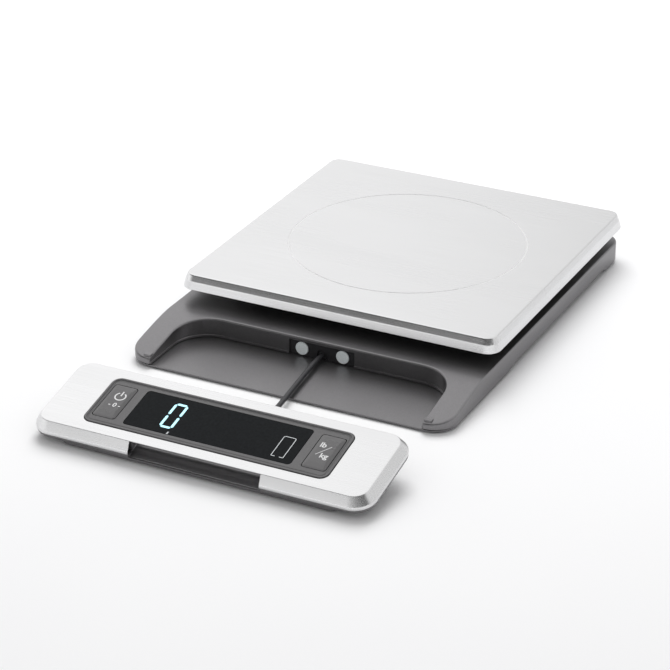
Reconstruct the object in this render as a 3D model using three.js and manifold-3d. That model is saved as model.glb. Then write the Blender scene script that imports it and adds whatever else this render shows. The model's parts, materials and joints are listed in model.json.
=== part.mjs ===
// Digital kitchen scale with a square steel platter and a pull-out display on a thin cable.
// Millimetres, +X to the right, +Y to the back, +Z up. The display is drawn pulled out.
// Drawn with y = 0 at the platter's front edge; the last lines move the origin to the bottom centre.
import * as THREE from 'three';
import * as BufferGeometryUtils from 'three/addons/utils/BufferGeometryUtils.js';
import Module from 'manifold-3d';

// ---- platter and carrier ----
const PLATTER_WIDTH = 203;
const PLATTER_DEPTH = 203;
const PLATTER_TOP = 30;
const PLATTER_RIM = 8.7;
const PLATTER_BEVEL = 3.9;
const PLATTER_BEVEL_INSET = 1.7;
const PLATTER_LEAN = 1.2;
const PLATTER_CORNER = 9;
const SHEET = 0.8;
const RING_RADIUS = 72;
const RING_LINE = 1;
const RING_DEPTH = 0.2;
const CARRIER_MARGIN = 7;
const CARRIER_THICKNESS = 2;
const PAD_RADIUS = 8;
const PAD_HEIGHT = 2.1;
const PAD_INSET = 24;
const SPACER_LENGTH = 24;
const SPACER_WIDTH = 12;
const CARRIER_RIB = 3.5;
const WEIGH_TRAVEL = 0.5;

// ---- base ----
const BASE_WIDTH = 202;
const ARM_REACH = 62;
const BASE_REAR_INSET = 1.5;
const BASE_CORNER = 14;
const ARM_CORNER = 14;
const FOOT_HEIGHT = 0.7;
const FLOOR = 1.2;
const DECK_TOP = 14;
const ARM_TIP_TOP = 6;
const DECK_BREAK = -12;
const DECK_BEND = -24;
const WALL = 2.2;
const DECK_SKIN = 1.8;
const BAY_WALL_Y = -13.5;
const PLATEAU_TOP = 17.5;
const PLATEAU_HALF = 80;
const PLATEAU_FRONT = 25;
const PLATEAU_REAR = 182;
const NOTCH_HEIGHT = 3.6;
const NOTCH_DEPTH = 5;
const NOTCH_FRONT = 23;
const NOTCH_REAR = 176;
const NOTCH_SLOPE = 6;
const FOOT_RADIUS = 4.6;
const BOSS_RADIUS = 3.6;
const BOSS_LIFT = 2.6;
const PILOT_RADIUS = 1.5;
const NUB_INSET = 1.5;
const NUB_REACH = 5;
const NUB_LENGTH = 3.5;
const NUB_HEIGHT = 1.4;

// ---- display ----
const DISPLAY_WIDTH = 204;
const DISPLAY_LENGTH = 60;
const DISPLAY_SHELL = 8;
const DISPLAY_INSET = 3.8;
const DISPLAY_CORNER = 12;
const DISPLAY_TILT = 12;
const DISPLAY_FRONT = -163;
const DISPLAY_EDGE_Z = 4.3;
const TUB_WIDTH = 168;
const TUB_CORNER = 20;
const TUB_FRONT = -161;
const TUB_BOTTOM = 1;
const DISPLAY_TRAVEL = 100;
const BAY_CLEARANCE = 1.5;
const PULL_WIDTH = 79;
const PULL_DEPTH = 10;
const WINDOW_WIDTH = 147;
const WINDOW_LENGTH = 38.4;
const WINDOW_MIDDLE = 30;
const WINDOW_CORNER = 5;
const LENS_WIDTH = 101;
const LENS_LENGTH = 29.4;
const BUTTON_WIDTH = 14;
const BUTTON_LENGTH = 27;
const BUTTON_OFFSET = 63.3;
const BUTTON_TRAVEL = 0.7;

// ---- bought-in pieces ----
const CABLE_DIAMETER = 3;
const HOLE_RADIUS = 3.2;
const MAGNET_RADIUS = 4;
const MAGNET_SPREAD = 13;
const MAGNET_Z = 6.8;
const PANEL_WIDTH = 41;
const PANEL_TOP = 11.2;
const CELL_LENGTH = 80;
const CELL_WIDTH = 12.7;
const CELL_HEIGHT = 8.5;
const CELL_SCREW_PITCH = 12;
const CELL_SCREW_INSET = 6;
const CELL_BOSS_HEIGHT = 1.3;
const SCREW_RADIUS = 2;
const BATTERY_RADIUS = 5.25;
const BATTERY_LENGTH = 44.5;
const BATTERY_COUNT = 4;
const BATTERY_BAY_LENGTH = 55.6;
const BATTERY_SHIFT = 1.8;
const TRAY_WALL = 1.2;
const CONTACT_SHEET = 0.6;
const SPRING_WIRE = 0.35;
const SPRING_TURNS = 3;
const DOOR_THICKNESS = 1.4;
const TRUNNION_RADIUS = 0.4;
const HINGE_BOSS_LENGTH = 3;

// ---- clearances and where things follow from the sizes above ----
const GAP = 0.3;
const FIT = 0.4;
const CUT = 1;
const OVERLAP = 0.5;
const PLATTER_BOTTOM = PLATTER_TOP - PLATTER_RIM;
const PLATTER_UNDER = PLATTER_TOP - SHEET;
const PAD_TOP = PLATTER_UNDER - GAP;
const CARRIER_TOP = PAD_TOP - PAD_HEIGHT - GAP;
const CARRIER_BOTTOM = CARRIER_TOP - CARRIER_THICKNESS;
const MIDDLE_Y = PLATTER_DEPTH / 2;
const BASE_REAR = PLATTER_DEPTH - BASE_REAR_INSET;
const FLOOR_TOP = FOOT_HEIGHT + FLOOR;
const DECK_UNDER = DECK_TOP - DECK_SKIN;
const HINGE_BOSS_TOP = FLOOR_TOP + 1;
const HOUSING_BOTTOM = FLOOR_TOP + GAP;
const HALF_BASE = BASE_WIDTH / 2;
const TUB_REAR = BAY_WALL_Y - DISPLAY_TRAVEL - FIT;
const BAY_HALF = TUB_WIDTH / 2 + BAY_CLEARANCE;
const BAY_CORNER = TUB_CORNER + BAY_CLEARANCE;
const TILT = THREE.MathUtils.degToRad(DISPLAY_TILT);
const CELL_BOTTOM = HOUSING_BOTTOM + 2.7;
const CELL_TOP = CELL_BOTTOM + CELL_HEIGHT;
const FIXED_END_X = -(CELL_LENGTH / 2 - CELL_SCREW_INSET - CELL_SCREW_PITCH / 2);
const FREE_END_X = -FIXED_END_X;
const BATTERY_BAY_X = 48;
const BATTERY_BAY_Y = 142;
const BATTERY_PITCH = 2 * BATTERY_RADIUS + 0.5;
const BATTERY_Z = FLOOR_TOP + 0.5 + BATTERY_RADIUS;
const BATTERY_BAY_WIDTH = BATTERY_PITCH * BATTERY_COUNT + 1.6;
const DOOR_WIDTH = 52;
const DOOR_FRONT = BATTERY_BAY_Y - BATTERY_BAY_WIDTH / 2 + 1.8;
const DOOR_PIVOT_Y = BATTERY_BAY_Y + BATTERY_BAY_WIDTH / 2 + 4.5;
const DOOR_PIVOT_Z = FOOT_HEIGHT + DOOR_THICKNESS / 2;

// ---- finishes ----
const FINISHES = {
  steel: { color: 0xd6d7d8, roughness: 0.3, metalness: 1 },
  charcoal: { color: 0x55565a, roughness: 0.45, metalness: 0.3 },
  black: { color: 0x1d1e20, roughness: 0.5, metalness: 0 },
  bezel: { color: 0x4a4a4c, roughness: 0.45, metalness: 0.1 },
  glass: { color: 0x0c0e10, roughness: 0.06, metalness: 0 },
  rubber: { color: 0x2b2b2c, roughness: 0.85, metalness: 0 },
  zinc: { color: 0xb9bdc0, roughness: 0.35, metalness: 1 },
  alloy: { color: 0xc9ccce, roughness: 0.4, metalness: 1 },
  board: { color: 0x1f6b3a, roughness: 0.5, metalness: 0 },
  battery: { color: 0xb08a3a, roughness: 0.35, metalness: 0.4 },
};

const wasm = await Module();
wasm.setup();

// ---- small tools ----
function solid(geometry) {
  const bare = geometry.clone();
  bare.deleteAttribute('normal');
  bare.deleteAttribute('uv');
  const merged = BufferGeometryUtils.mergeVertices(bare, 1e-4);
  const mesh = new wasm.Mesh({
    numProp: 3,
    vertProperties: new Float32Array(merged.attributes.position.array),
    triVerts: new Uint32Array(merged.index.array),
  });
  return new wasm.Manifold(mesh);
}

function geometryOf(manifold) {
  const mesh = manifold.getMesh();
  const geometry = new THREE.BufferGeometry();
  geometry.setAttribute('position', new THREE.BufferAttribute(new Float32Array(mesh.vertProperties), 3));
  geometry.setIndex(new THREE.BufferAttribute(new Uint32Array(mesh.triVerts), 1));
  geometry.computeVertexNormals();
  return geometry;
}

function joined(first, ...rest) {
  return rest.reduce((sum, piece) => sum.add(piece), first);
}

function cutBy(first, ...rest) {
  return rest.reduce((left, piece) => left.subtract(piece), first);
}

// The two limits along X may come in either order.
function block(x0, x1, y0, y1, z0, z1) {
  const geometry = new THREE.BoxGeometry(Math.abs(x1 - x0), y1 - y0, z1 - z0);
  geometry.translate((x0 + x1) / 2, (y0 + y1) / 2, (z0 + z1) / 2);
  return solid(geometry);
}

function rod(radius, low, high, x, y, sides = 20) {
  const geometry = new THREE.CylinderGeometry(radius, radius, high - low, sides);
  geometry.rotateX(Math.PI / 2);
  geometry.translate(x, y, (low + high) / 2);
  return solid(geometry);
}

function rodAlongX(radius, x0, x1, y, z, sides = 16) {
  const geometry = new THREE.CylinderGeometry(radius, radius, Math.abs(x1 - x0), sides);
  geometry.rotateZ(Math.PI / 2);
  geometry.translate((x0 + x1) / 2, y, z);
  return solid(geometry);
}

function rodAlongY(radius, y0, y1, x, z, sides = 24) {
  const geometry = new THREE.CylinderGeometry(radius, radius, y1 - y0, sides);
  geometry.translate(x, (y0 + y1) / 2, z);
  return solid(geometry);
}

// A rectangle in plan with its own radius for the front and the rear corners.
function roundedRect(x0, x1, y0, y1, frontRadius, rearRadius = frontRadius) {
  const shape = new THREE.Shape();
  shape.moveTo(x0 + frontRadius, y0);
  shape.lineTo(x1 - frontRadius, y0);
  shape.absarc(x1 - frontRadius, y0 + frontRadius, frontRadius, -Math.PI / 2, 0);
  shape.lineTo(x1, y1 - rearRadius);
  shape.absarc(x1 - rearRadius, y1 - rearRadius, rearRadius, 0, Math.PI / 2);
  shape.lineTo(x0 + rearRadius, y1);
  shape.absarc(x0 + rearRadius, y1 - rearRadius, rearRadius, Math.PI / 2, Math.PI);
  shape.lineTo(x0, y0 + frontRadius);
  shape.absarc(x0 + frontRadius, y0 + frontRadius, frontRadius, Math.PI, 1.5 * Math.PI);
  return shape;
}

function slab(shape, low, high, curveSegments = 8) {
  const options = { depth: high - low, bevelEnabled: false, curveSegments };
  const geometry = new THREE.ExtrudeGeometry(shape, options);
  geometry.translate(0, 0, low);
  return solid(geometry);
}

// A slab whose top edge leans in by inset over the last bevel of its height.
function beveledSlab(x0, x1, y0, y1, corner, low, high, bevel, inset, steps) {
  const shape = roundedRect(x0 + inset, x1 - inset, y0 + inset, y1 - inset, corner - inset);
  const geometry = new THREE.ExtrudeGeometry(shape, {
    depth: high - low - bevel,
    bevelThickness: bevel,
    bevelSize: inset,
    bevelSegments: steps,
    curveSegments: 6,
  });
  geometry.translate(0, 0, low);
  return cutBy(solid(geometry), block(x0 - CUT, x1 + CUT, y0 - CUT, y1 + CUT, low - bevel - CUT, low));
}

function shapeOf(points) {
  return new THREE.Shape(points.map(([across, up]) => new THREE.Vector2(across, up)));
}

// A side profile in y and z, drawn out along X.
function profileAlongX(shape, x0, x1, curveSegments = 8) {
  const options = { depth: Math.abs(x1 - x0), bevelEnabled: false, curveSegments };
  const geometry = new THREE.ExtrudeGeometry(shape, options);
  geometry.rotateX(Math.PI / 2);
  geometry.rotateZ(Math.PI / 2);
  geometry.translate(Math.min(x0, x1), 0, 0);
  return solid(geometry);
}

// A profile of radius and height points, turned about the axis.
function turned(profile, sides) {
  return new THREE.LatheGeometry(profile.map(([r, z]) => new THREE.Vector2(r, z)), sides);
}

function mesh(name, body, finish) {
  const geometry = body instanceof THREE.BufferGeometry ? body : geometryOf(body);
  const piece = new THREE.Mesh(geometry, new THREE.MeshStandardMaterial(FINISHES[finish]));
  piece.name = name;
  return piece;
}

// A pan-head screw standing on its head, with the head's underside at z = 0 and the shank going up.
function screw(name, headRadius, headHeight, shankRadius, length) {
  const profile = [
    [0, -headHeight],
    [headRadius * 0.8, -headHeight],
    [headRadius, -headHeight * 0.5],
    [headRadius, 0],
    [shankRadius, 0],
    [shankRadius, length - shankRadius],
    [0, length],
  ];
  const lathe = turned(profile, 12);
  lathe.rotateX(Math.PI / 2);
  const drive = rod(headRadius * 0.35, -headHeight - CUT, -headHeight * 0.45, 0, 0, 6);
  return mesh(name, cutBy(solid(lathe), drive), 'zinc');
}

function placed(piece, x, y, z) {
  piece.position.set(x, y, z);
  return piece;
}

// ---- base ----
function baseOutline(inset) {
  return roundedRect(
    -HALF_BASE + inset, HALF_BASE - inset, -ARM_REACH + inset, BASE_REAR - inset,
    ARM_CORNER - inset * 0.5, BASE_CORNER - inset * 0.5,
  );
}

function bayOutline(grow) {
  const half = BAY_HALF + grow;
  return roundedRect(-half, half, -ARM_REACH - 30, BAY_WALL_Y + grow, 1, BAY_CORNER + grow);
}

// Everything below the deck: level under the platter, bending down to the arm tips.
function underDeck(drop) {
  const low = ARM_TIP_TOP - drop;
  const high = DECK_TOP - drop;
  const profile = new THREE.Shape();
  profile.moveTo(-ARM_REACH - CUT, 0);
  profile.lineTo(BASE_REAR + CUT, 0);
  profile.lineTo(BASE_REAR + CUT, high);
  profile.lineTo(DECK_BREAK, high);
  profile.quadraticCurveTo(DECK_BEND, high, -ARM_REACH, low);
  profile.lineTo(-ARM_REACH - CUT, low);
  return profileAlongX(profile, -HALF_BASE - CUT, HALF_BASE + CUT, 10);
}

function plateau(inset) {
  const side = PLATEAU_HALF - inset;
  const outline = roundedRect(-side, side, PLATEAU_FRONT + inset, PLATEAU_REAR - inset, 10);
  return slab(outline, HOUSING_BOTTOM - CUT, PLATEAU_TOP - (inset ? DECK_SKIN : 0));
}

function sideNotch(side) {
  const profile = [
    [NOTCH_FRONT, 0],
    [NOTCH_FRONT + NOTCH_SLOPE, NOTCH_HEIGHT],
    [NOTCH_REAR - NOTCH_SLOPE, NOTCH_HEIGHT],
    [NOTCH_REAR, 0],
  ];
  return profileAlongX(shapeOf(profile), side * (HALF_BASE - NOTCH_DEPTH), side * (HALF_BASE + CUT));
}

function panelOpening() {
  const half = PANEL_WIDTH / 2 + GAP;
  const rear = BAY_WALL_Y + WALL + CUT;
  return block(-half, half, BAY_WALL_Y - CUT, rear, HOUSING_BOTTOM - CUT, PANEL_TOP + GAP);
}

const FOOT_PLACES = [
  [-(HALF_BASE - 8), -45],
  [HALF_BASE - 8, -45],
  [-85, BASE_REAR - 15],
  [85, BASE_REAR - 15],
];
const BASE_SCREW_PLACES = [
  [-72, 12],
  [72, 12],
  [-72, 190],
  [72, 190],
];
const CELL_SCREW_X = [-CELL_SCREW_PITCH / 2, CELL_SCREW_PITCH / 2];

// The closed shape of the upper housing: deck, arms and the raised middle.
function housingOutside() {
  const deck = slab(baseOutline(0), HOUSING_BOTTOM, DECK_TOP).intersect(underDeck(0));
  const belowDeck = block(-HALF_BASE, HALF_BASE, 0, BASE_REAR, 0, DECK_TOP - OVERLAP);
  return joined(deck, cutBy(plateau(0), belowDeck));
}

// What is taken out to leave the walls and the skin under the deck.
function housingInside() {
  const walled = slab(baseOutline(WALL), HOUSING_BOTTOM - CUT, DECK_UNDER);
  const room = joined(walled.intersect(underDeck(DECK_SKIN)), plateau(WALL));
  return cutBy(room, slab(bayOutline(WALL), 0, DECK_TOP + CUT));
}

function spacerHole() {
  const half = SPACER_LENGTH / 2 + 2;
  const y = SPACER_WIDTH / 2 + 3;
  return block(FREE_END_X - half, FREE_END_X + half, MIDDLE_Y - y, MIDDLE_Y + y,
    DECK_TOP, PLATEAU_TOP + CUT);
}

function baseUpperHousing() {
  const bay = slab(bayOutline(0), 0, DECK_TOP + CUT);
  const shell = cutBy(housingOutside(), housingInside(), bay, spacerHole(), panelOpening(),
    sideNotch(-1), sideNotch(1));
  const bosses = BASE_SCREW_PLACES.map(([x, y]) =>
    rod(BOSS_RADIUS, HOUSING_BOTTOM + BOSS_LIFT, DECK_UNDER + OVERLAP, x, y));
  const pilots = BASE_SCREW_PLACES.map(([x, y]) =>
    rod(PILOT_RADIUS, HOUSING_BOTTOM, DECK_UNDER - CUT, x, y, 16));
  return mesh('base_upper_housing', cutBy(joined(shell, ...bosses, ...armNubs()), ...pilots), 'charcoal');
}

// Small blocks on the arm tips that the docked display snaps behind.
function armNubs() {
  return [-1, 1].map((side) => {
    const front = -ARM_REACH + NUB_INSET;
    return block(side * (BAY_HALF + GAP), side * (BAY_HALF + NUB_REACH), front, front + NUB_LENGTH,
      HOUSING_BOTTOM + OVERLAP, ARM_TIP_TOP + NUB_HEIGHT);
  });
}

function doorOpening() {
  const half = DOOR_WIDTH / 2 + GAP;
  const rear = DOOR_PIVOT_Y + DOOR_THICKNESS / 2 + GAP;
  return block(BATTERY_BAY_X - half, BATTERY_BAY_X + half, DOOR_FRONT - GAP, rear, 0, HINGE_BOSS_TOP + CUT);
}

function doorHingeBosses() {
  const near = DOOR_WIDTH / 2 + GAP;
  const far = near + HINGE_BOSS_LENGTH;
  const half = HINGE_BOSS_LENGTH / 2 + OVERLAP;
  return [-1, 1].map((side) => {
    const boss = block(BATTERY_BAY_X + side * near, BATTERY_BAY_X + side * far,
      DOOR_PIVOT_Y - half, DOOR_PIVOT_Y + half, FOOT_HEIGHT, HINGE_BOSS_TOP);
    const hole = rodAlongX(TRUNNION_RADIUS + 0.2, BATTERY_BAY_X + side * (near - CUT),
      BATTERY_BAY_X + side * (far + CUT), DOOR_PIVOT_Y, DOOR_PIVOT_Z, 12);
    return { boss, hole };
  });
}

// Low ribs that back the side notches.
function notchRib(side) {
  const inner = HALF_BASE - NOTCH_DEPTH - 3.4;
  const outer = HALF_BASE - NOTCH_DEPTH - 2;
  return block(side * inner, side * outer, NOTCH_FRONT - 6, NOTCH_REAR + 4, FLOOR_TOP - OVERLAP,
    NOTCH_HEIGHT + 3);
}

function cellHolesFrom(x, low, high) {
  return CELL_SCREW_X.map((offset) => rod(SCREW_RADIUS + GAP, low, high, x + offset, MIDDLE_Y));
}

function baseBottomCover() {
  const plate = slab(baseOutline(FIT), FOOT_HEIGHT, FLOOR_TOP);
  const footBosses = FOOT_PLACES.map(([x, y]) => rod(FOOT_RADIUS + 0.6, FOOT_HEIGHT, FLOOR_TOP + 1, x, y));
  const footSeats = FOOT_PLACES.map(([x, y]) => rod(FOOT_RADIUS + GAP, 0, FLOOR_TOP + GAP, x, y));
  const screwBosses = BASE_SCREW_PLACES.map(([x, y]) => rod(5, FOOT_HEIGHT, FLOOR_TOP + 2, x, y));
  const screwHoles = BASE_SCREW_PLACES.flatMap(([x, y]) => [
    rod(3, 0, FLOOR_TOP + 0.4, x, y),
    rod(1.7, 0, FLOOR_TOP + 4, x, y, 16),
  ]);
  const cellBoss = block(FIXED_END_X - 13, FIXED_END_X + 13, MIDDLE_Y - 7, MIDDLE_Y + 7, FOOT_HEIGHT,
    FLOOR_TOP + CELL_BOSS_HEIGHT);
  const headSeats = CELL_SCREW_X.map((x) => rod(4.3, 0, FLOOR_TOP + 0.1, FIXED_END_X + x, MIDDLE_Y));
  const hinges = doorHingeBosses();
  const solids = joined(plate, notchRib(-1), notchRib(1), ...footBosses, ...screwBosses, cellBoss,
    ...hinges.map((hinge) => hinge.boss));
  const body = cutBy(solids, ...footSeats, ...screwHoles, ...headSeats, doorOpening(),
    ...cellHolesFrom(FIXED_END_X, 0, CELL_BOTTOM), ...hinges.map((hinge) => hinge.hole),
    sideNotch(-1), sideNotch(1));
  return mesh('base_bottom_cover', body, 'charcoal');
}

function magnetPanel() {
  const front = BAY_WALL_Y + 0.6;
  const half = PANEL_WIDTH / 2;
  const plate = block(-half, half, front, front + 2.6, HOUSING_BOTTOM, PANEL_TOP);
  const hole = rodAlongY(HOLE_RADIUS, front - CUT, front + 4, 0, MAGNET_Z - 1.7);
  const seats = [-1, 1].map((side) =>
    rodAlongY(MAGNET_RADIUS + GAP, front - CUT, front + 4, side * MAGNET_SPREAD, MAGNET_Z));
  return mesh('magnet_panel', cutBy(plate, hole, ...seats), 'black');
}

function magnet(name, side) {
  const front = BAY_WALL_Y + 0.3;
  return mesh(name, rodAlongY(MAGNET_RADIUS, front, front + 3, side * MAGNET_SPREAD, MAGNET_Z, 32), 'zinc');
}

// The sleeve behind the panel that the cable runs into.
function cableGuide() {
  const start = CABLE_START_Y + GAP;
  const flange = rodAlongY(HOLE_RADIUS - GAP, start, start + 1.5, 0, MAGNET_Z - 1.7);
  const sleeve = rodAlongY(CABLE_DIAMETER / 2 + 0.8, start, start + 14, 0, MAGNET_Z - 1.7);
  return mesh('cable_guide', joined(flange, sleeve), 'rubber');
}

function foot(name, x, y) {
  return mesh(name, rod(FOOT_RADIUS, 0, FLOOR_TOP, x, y), 'rubber');
}

function loadCell() {
  const half = CELL_LENGTH / 2;
  const y = CELL_WIDTH / 2;
  const body = block(-half, half, MIDDLE_Y - y, MIDDLE_Y + y, CELL_BOTTOM, CELL_TOP);
  const middle = (CELL_BOTTOM + CELL_TOP) / 2;
  const eyes = [-6, 0, 6].map((x) => rodAlongY(2.8, MIDDLE_Y - y - CUT, MIDDLE_Y + y + CUT, x, middle, 20));
  const screwHoles = cellHolesFrom(FIXED_END_X, CELL_BOTTOM - CUT, CELL_TOP + CUT);
  return mesh('load_cell', cutBy(body, ...eyes, ...screwHoles), 'alloy');
}

// A plate of the spacer's size with the two screw holes, at one end of the load cell.
function cellPlate(x, low, high) {
  const half = SPACER_LENGTH / 2;
  const y = SPACER_WIDTH / 2;
  const plate = block(x - half, x + half, MIDDLE_Y - y, MIDDLE_Y + y, low, high);
  return cutBy(plate, ...cellHolesFrom(x, low - CUT, high + CUT));
}

function cellMount() {
  const plate = cellPlate(FIXED_END_X, FLOOR_TOP + CELL_BOSS_HEIGHT + GAP, CELL_BOTTOM - GAP);
  return mesh('load_cell_mount', plate, 'zinc');
}

function mainBoard() {
  const plate = block(-84, -50, 62, 112, FLOOR_TOP + 3, FLOOR_TOP + 4.6);
  const chip = block(-74, -62, 80, 92, FLOOR_TOP + 4.5, FLOOR_TOP + 6.4);
  const socket = block(-60, -54, 66, 78, FLOOR_TOP + 4.5, FLOOR_TOP + 9);
  return mesh('main_board', joined(plate, chip, socket), 'board');
}

function batteryTray() {
  const roof = BATTERY_Z + BATTERY_RADIUS + FIT;
  const around = (grow, low, high) => {
    const x = BATTERY_BAY_LENGTH / 2 + grow;
    const y = BATTERY_BAY_WIDTH / 2 + grow;
    return block(BATTERY_BAY_X - x, BATTERY_BAY_X + x, BATTERY_BAY_Y - y, BATTERY_BAY_Y + y, low, high);
  };
  const outer = around(TRAY_WALL, HOUSING_BOTTOM, roof + TRAY_WALL);
  return mesh('battery_tray', cutBy(outer, around(0, 0, roof)), 'black');
}

function batteryY(index) {
  return BATTERY_BAY_Y + (index - (BATTERY_COUNT - 1) / 2) * BATTERY_PITCH;
}

// Neighbouring cells point opposite ways.
function battery(index) {
  const way = index % 2 ? -1 : 1;
  const half = BATTERY_LENGTH / 2;
  const nub = 1;
  const profile = [
    [0, -half],
    [BATTERY_RADIUS - 0.5, -half],
    [BATTERY_RADIUS, -half + 0.5],
    [BATTERY_RADIUS, half - nub - 0.5],
    [BATTERY_RADIUS - 0.5, half - nub],
    [1.9, half - nub],
    [1.9, half],
    [0, half],
  ];
  const geometry = turned(profile, 20);
  geometry.rotateZ(-way * Math.PI / 2);
  geometry.translate(BATTERY_BAY_X + way * BATTERY_SHIFT, batteryY(index), BATTERY_Z);
  return mesh(`battery_${index + 1}`, solid(geometry), 'battery');
}

// A thin plate at one end of the battery bay, with a spring for each cell whose flat end faces it.
function batteryContact(name, side) {
  const wallX = BATTERY_BAY_X + side * (BATTERY_BAY_LENGTH / 2 - GAP);
  const innerX = wallX - side * CONTACT_SHEET;
  const y = BATTERY_BAY_WIDTH / 2 - 0.8;
  const plate = block(wallX, innerX, BATTERY_BAY_Y - y, BATTERY_BAY_Y + y, BATTERY_Z - 4, BATTERY_Z + 4);
  const flatEnd = BATTERY_LENGTH / 2 - BATTERY_SHIFT;
  const root = 0.2;
  const reach = BATTERY_BAY_LENGTH / 2 - CONTACT_SHEET - 2 * GAP - flatEnd + root;
  const indexes = [...Array(BATTERY_COUNT).keys()].filter((index) => (index % 2 ? 1 : -1) === side);
  const springs = indexes.map((index) =>
    contactSpring(innerX + side * root, -side, reach, batteryY(index)));
  return mesh(name, joined(plate, ...springs), 'zinc');
}

// A conical spring that starts wide on its plate.
function contactSpring(x, way, length, y) {
  class Coil extends THREE.Curve {
    getPoint(t, target = new THREE.Vector3()) {
      const angle = t * SPRING_TURNS * 2 * Math.PI;
      const radius = 3.4 - 1.6 * t;
      const along = x + way * t * (length - SPRING_WIRE);
      return target.set(along, y + radius * Math.cos(angle), BATTERY_Z + radius * Math.sin(angle));
    }
  }
  const wire = new THREE.Shape();
  wire.absarc(0, 0, SPRING_WIRE, 0, 2 * Math.PI);
  const options = { steps: 30, extrudePath: new Coil(), curveSegments: 3 };
  return solid(new THREE.ExtrudeGeometry(wire, options));
}

function batteryDoor() {
  const half = DOOR_WIDTH / 2;
  const x0 = BATTERY_BAY_X - half;
  const x1 = BATTERY_BAY_X + half;
  const plate = block(x0, x1, DOOR_FRONT, DOOR_PIVOT_Y, FOOT_HEIGHT, FOOT_HEIGHT + DOOR_THICKNESS);
  const roundEdge = rodAlongX(DOOR_THICKNESS / 2, x0, x1, DOOR_PIVOT_Y, DOOR_PIVOT_Z, 20);
  const trunnions = rodAlongX(TRUNNION_RADIUS, x0 - 2, x1 + 2, DOOR_PIVOT_Y, DOOR_PIVOT_Z, 12);
  const fingerDip = rod(7, 0, FOOT_HEIGHT + 0.6, BATTERY_BAY_X, DOOR_FRONT - 1);
  return mesh('battery_door', joined(cutBy(plate, fingerDip), roundEdge, trunnions), 'charcoal');
}

// ---- weighing parts ----
function platformCarrier() {
  const x = PLATTER_WIDTH / 2 - CARRIER_MARGIN;
  const outline = roundedRect(-x, x, CARRIER_MARGIN, PLATTER_DEPTH - CARRIER_MARGIN, 8);
  const plate = slab(outline, CARRIER_BOTTOM, CARRIER_TOP);
  const low = CARRIER_BOTTOM - CARRIER_RIB;
  const high = CARRIER_BOTTOM + OVERLAP;
  const ribs = [MIDDLE_Y - 40, MIDDLE_Y + 40].map((y) => block(-x + 12, x - 12, y - 1, y + 1, low, high));
  const crossRibs = [-60, 60].map((at) => block(at - 1, at + 1, 20, PLATTER_DEPTH - 20, low, high));
  const holes = cellHolesFrom(FREE_END_X, low, PLATTER_TOP);
  return mesh('platform_carrier', cutBy(joined(plate, ...ribs, ...crossRibs), ...holes), 'black');
}

function platformSpacer() {
  const plate = cellPlate(FREE_END_X, CELL_TOP + WEIGH_TRAVEL + GAP, CARRIER_BOTTOM - GAP);
  return mesh('platform_spacer', plate, 'alloy');
}

function platterPad(name, x, y) {
  return mesh(name, rod(PAD_RADIUS, CARRIER_TOP + GAP, PAD_TOP, x, y), 'rubber');
}

// The platter's outer form, or with an inset its inner one: sides that lean in, then a bevel.
function platterForm(inset, low, top) {
  const half = PLATTER_WIDTH / 2;
  const shoulder = top - PLATTER_BEVEL;
  const land = 0.1;
  const tier = (by, z0, z1, bevel, lean) => beveledSlab(-half + by, half - by, by, PLATTER_DEPTH - by,
    PLATTER_CORNER - by, z0, z1, bevel, lean, 1);
  const sides = tier(inset, low, shoulder + land, shoulder - low, PLATTER_LEAN);
  const rim = tier(inset + PLATTER_LEAN, shoulder, top, PLATTER_BEVEL - land, PLATTER_BEVEL_INSET);
  return joined(sides, rim);
}

function platter() {
  const outer = platterForm(0, PLATTER_BOTTOM, PLATTER_TOP);
  const inner = platterForm(SHEET, PLATTER_BOTTOM - CUT, PLATTER_UNDER);
  const ring = [
    [RING_RADIUS - RING_LINE / 2, PLATTER_TOP - RING_DEPTH],
    [RING_RADIUS + RING_LINE / 2, PLATTER_TOP - RING_DEPTH],
    [RING_RADIUS + RING_LINE / 2, PLATTER_TOP + CUT],
    [RING_RADIUS - RING_LINE / 2, PLATTER_TOP + CUT],
    [RING_RADIUS - RING_LINE / 2, PLATTER_TOP - RING_DEPTH],
  ];
  const groove = turned(ring, 96);
  groove.rotateX(Math.PI / 2);
  groove.translate(0, MIDDLE_Y, 0);
  return mesh('platter', cutBy(outer, inner, solid(groove)), 'steel');
}

// ---- display, in its own frame: x across, y up the slope from the front edge, z out of the face ----
const fromDisplay = new THREE.Matrix4().makeRotationX(TILT).setPosition(0, DISPLAY_FRONT, DISPLAY_EDGE_Z);
const toDisplay = fromDisplay.invert();

function inDisplay(manifold) {
  return solid(geometryOf(manifold).applyMatrix4(toDisplay));
}

const SHELL_HALF = DISPLAY_WIDTH / 2;
const FACE_UNDER = DISPLAY_SHELL - SHEET;
const FLANGE_BOTTOM = FACE_UNDER - 1.8;
const BUTTON_SIDES = { power: -1, unit: 1 };
const COVER_SCREWS = [
  [-SHELL_HALF + 11, 13],
  [SHELL_HALF - 11, 13],
  [-SHELL_HALF + 11, DISPLAY_LENGTH - 13],
  [SHELL_HALF - 11, DISPLAY_LENGTH - 13],
];
const COVER_LOW = 1.2;
const COVER_FOOT = 1.2;
const LINER_BOTTOM = -0.8;
const LINER_TOP = COVER_LOW - GAP;
const STUD_RADIUS = 2.6;
const PULL_LIP = -0.2;

function windowRect(grow) {
  const x = WINDOW_WIDTH / 2 + grow;
  const y = WINDOW_LENGTH / 2 + grow;
  return roundedRect(-x, x, WINDOW_MIDDLE - y, WINDOW_MIDDLE + y, Math.max(WINDOW_CORNER + grow, 0.5));
}

// The shell's form, or with an inset its inner one: a short foot, then one flat slope to the crease.
function shellForm(inset, low, high) {
  const x = SHELL_HALF - inset;
  return beveledSlab(-x, x, inset, DISPLAY_LENGTH - inset, DISPLAY_CORNER - inset, low, high,
    high - COVER_LOW - COVER_FOOT, DISPLAY_INSET, 1);
}

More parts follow.
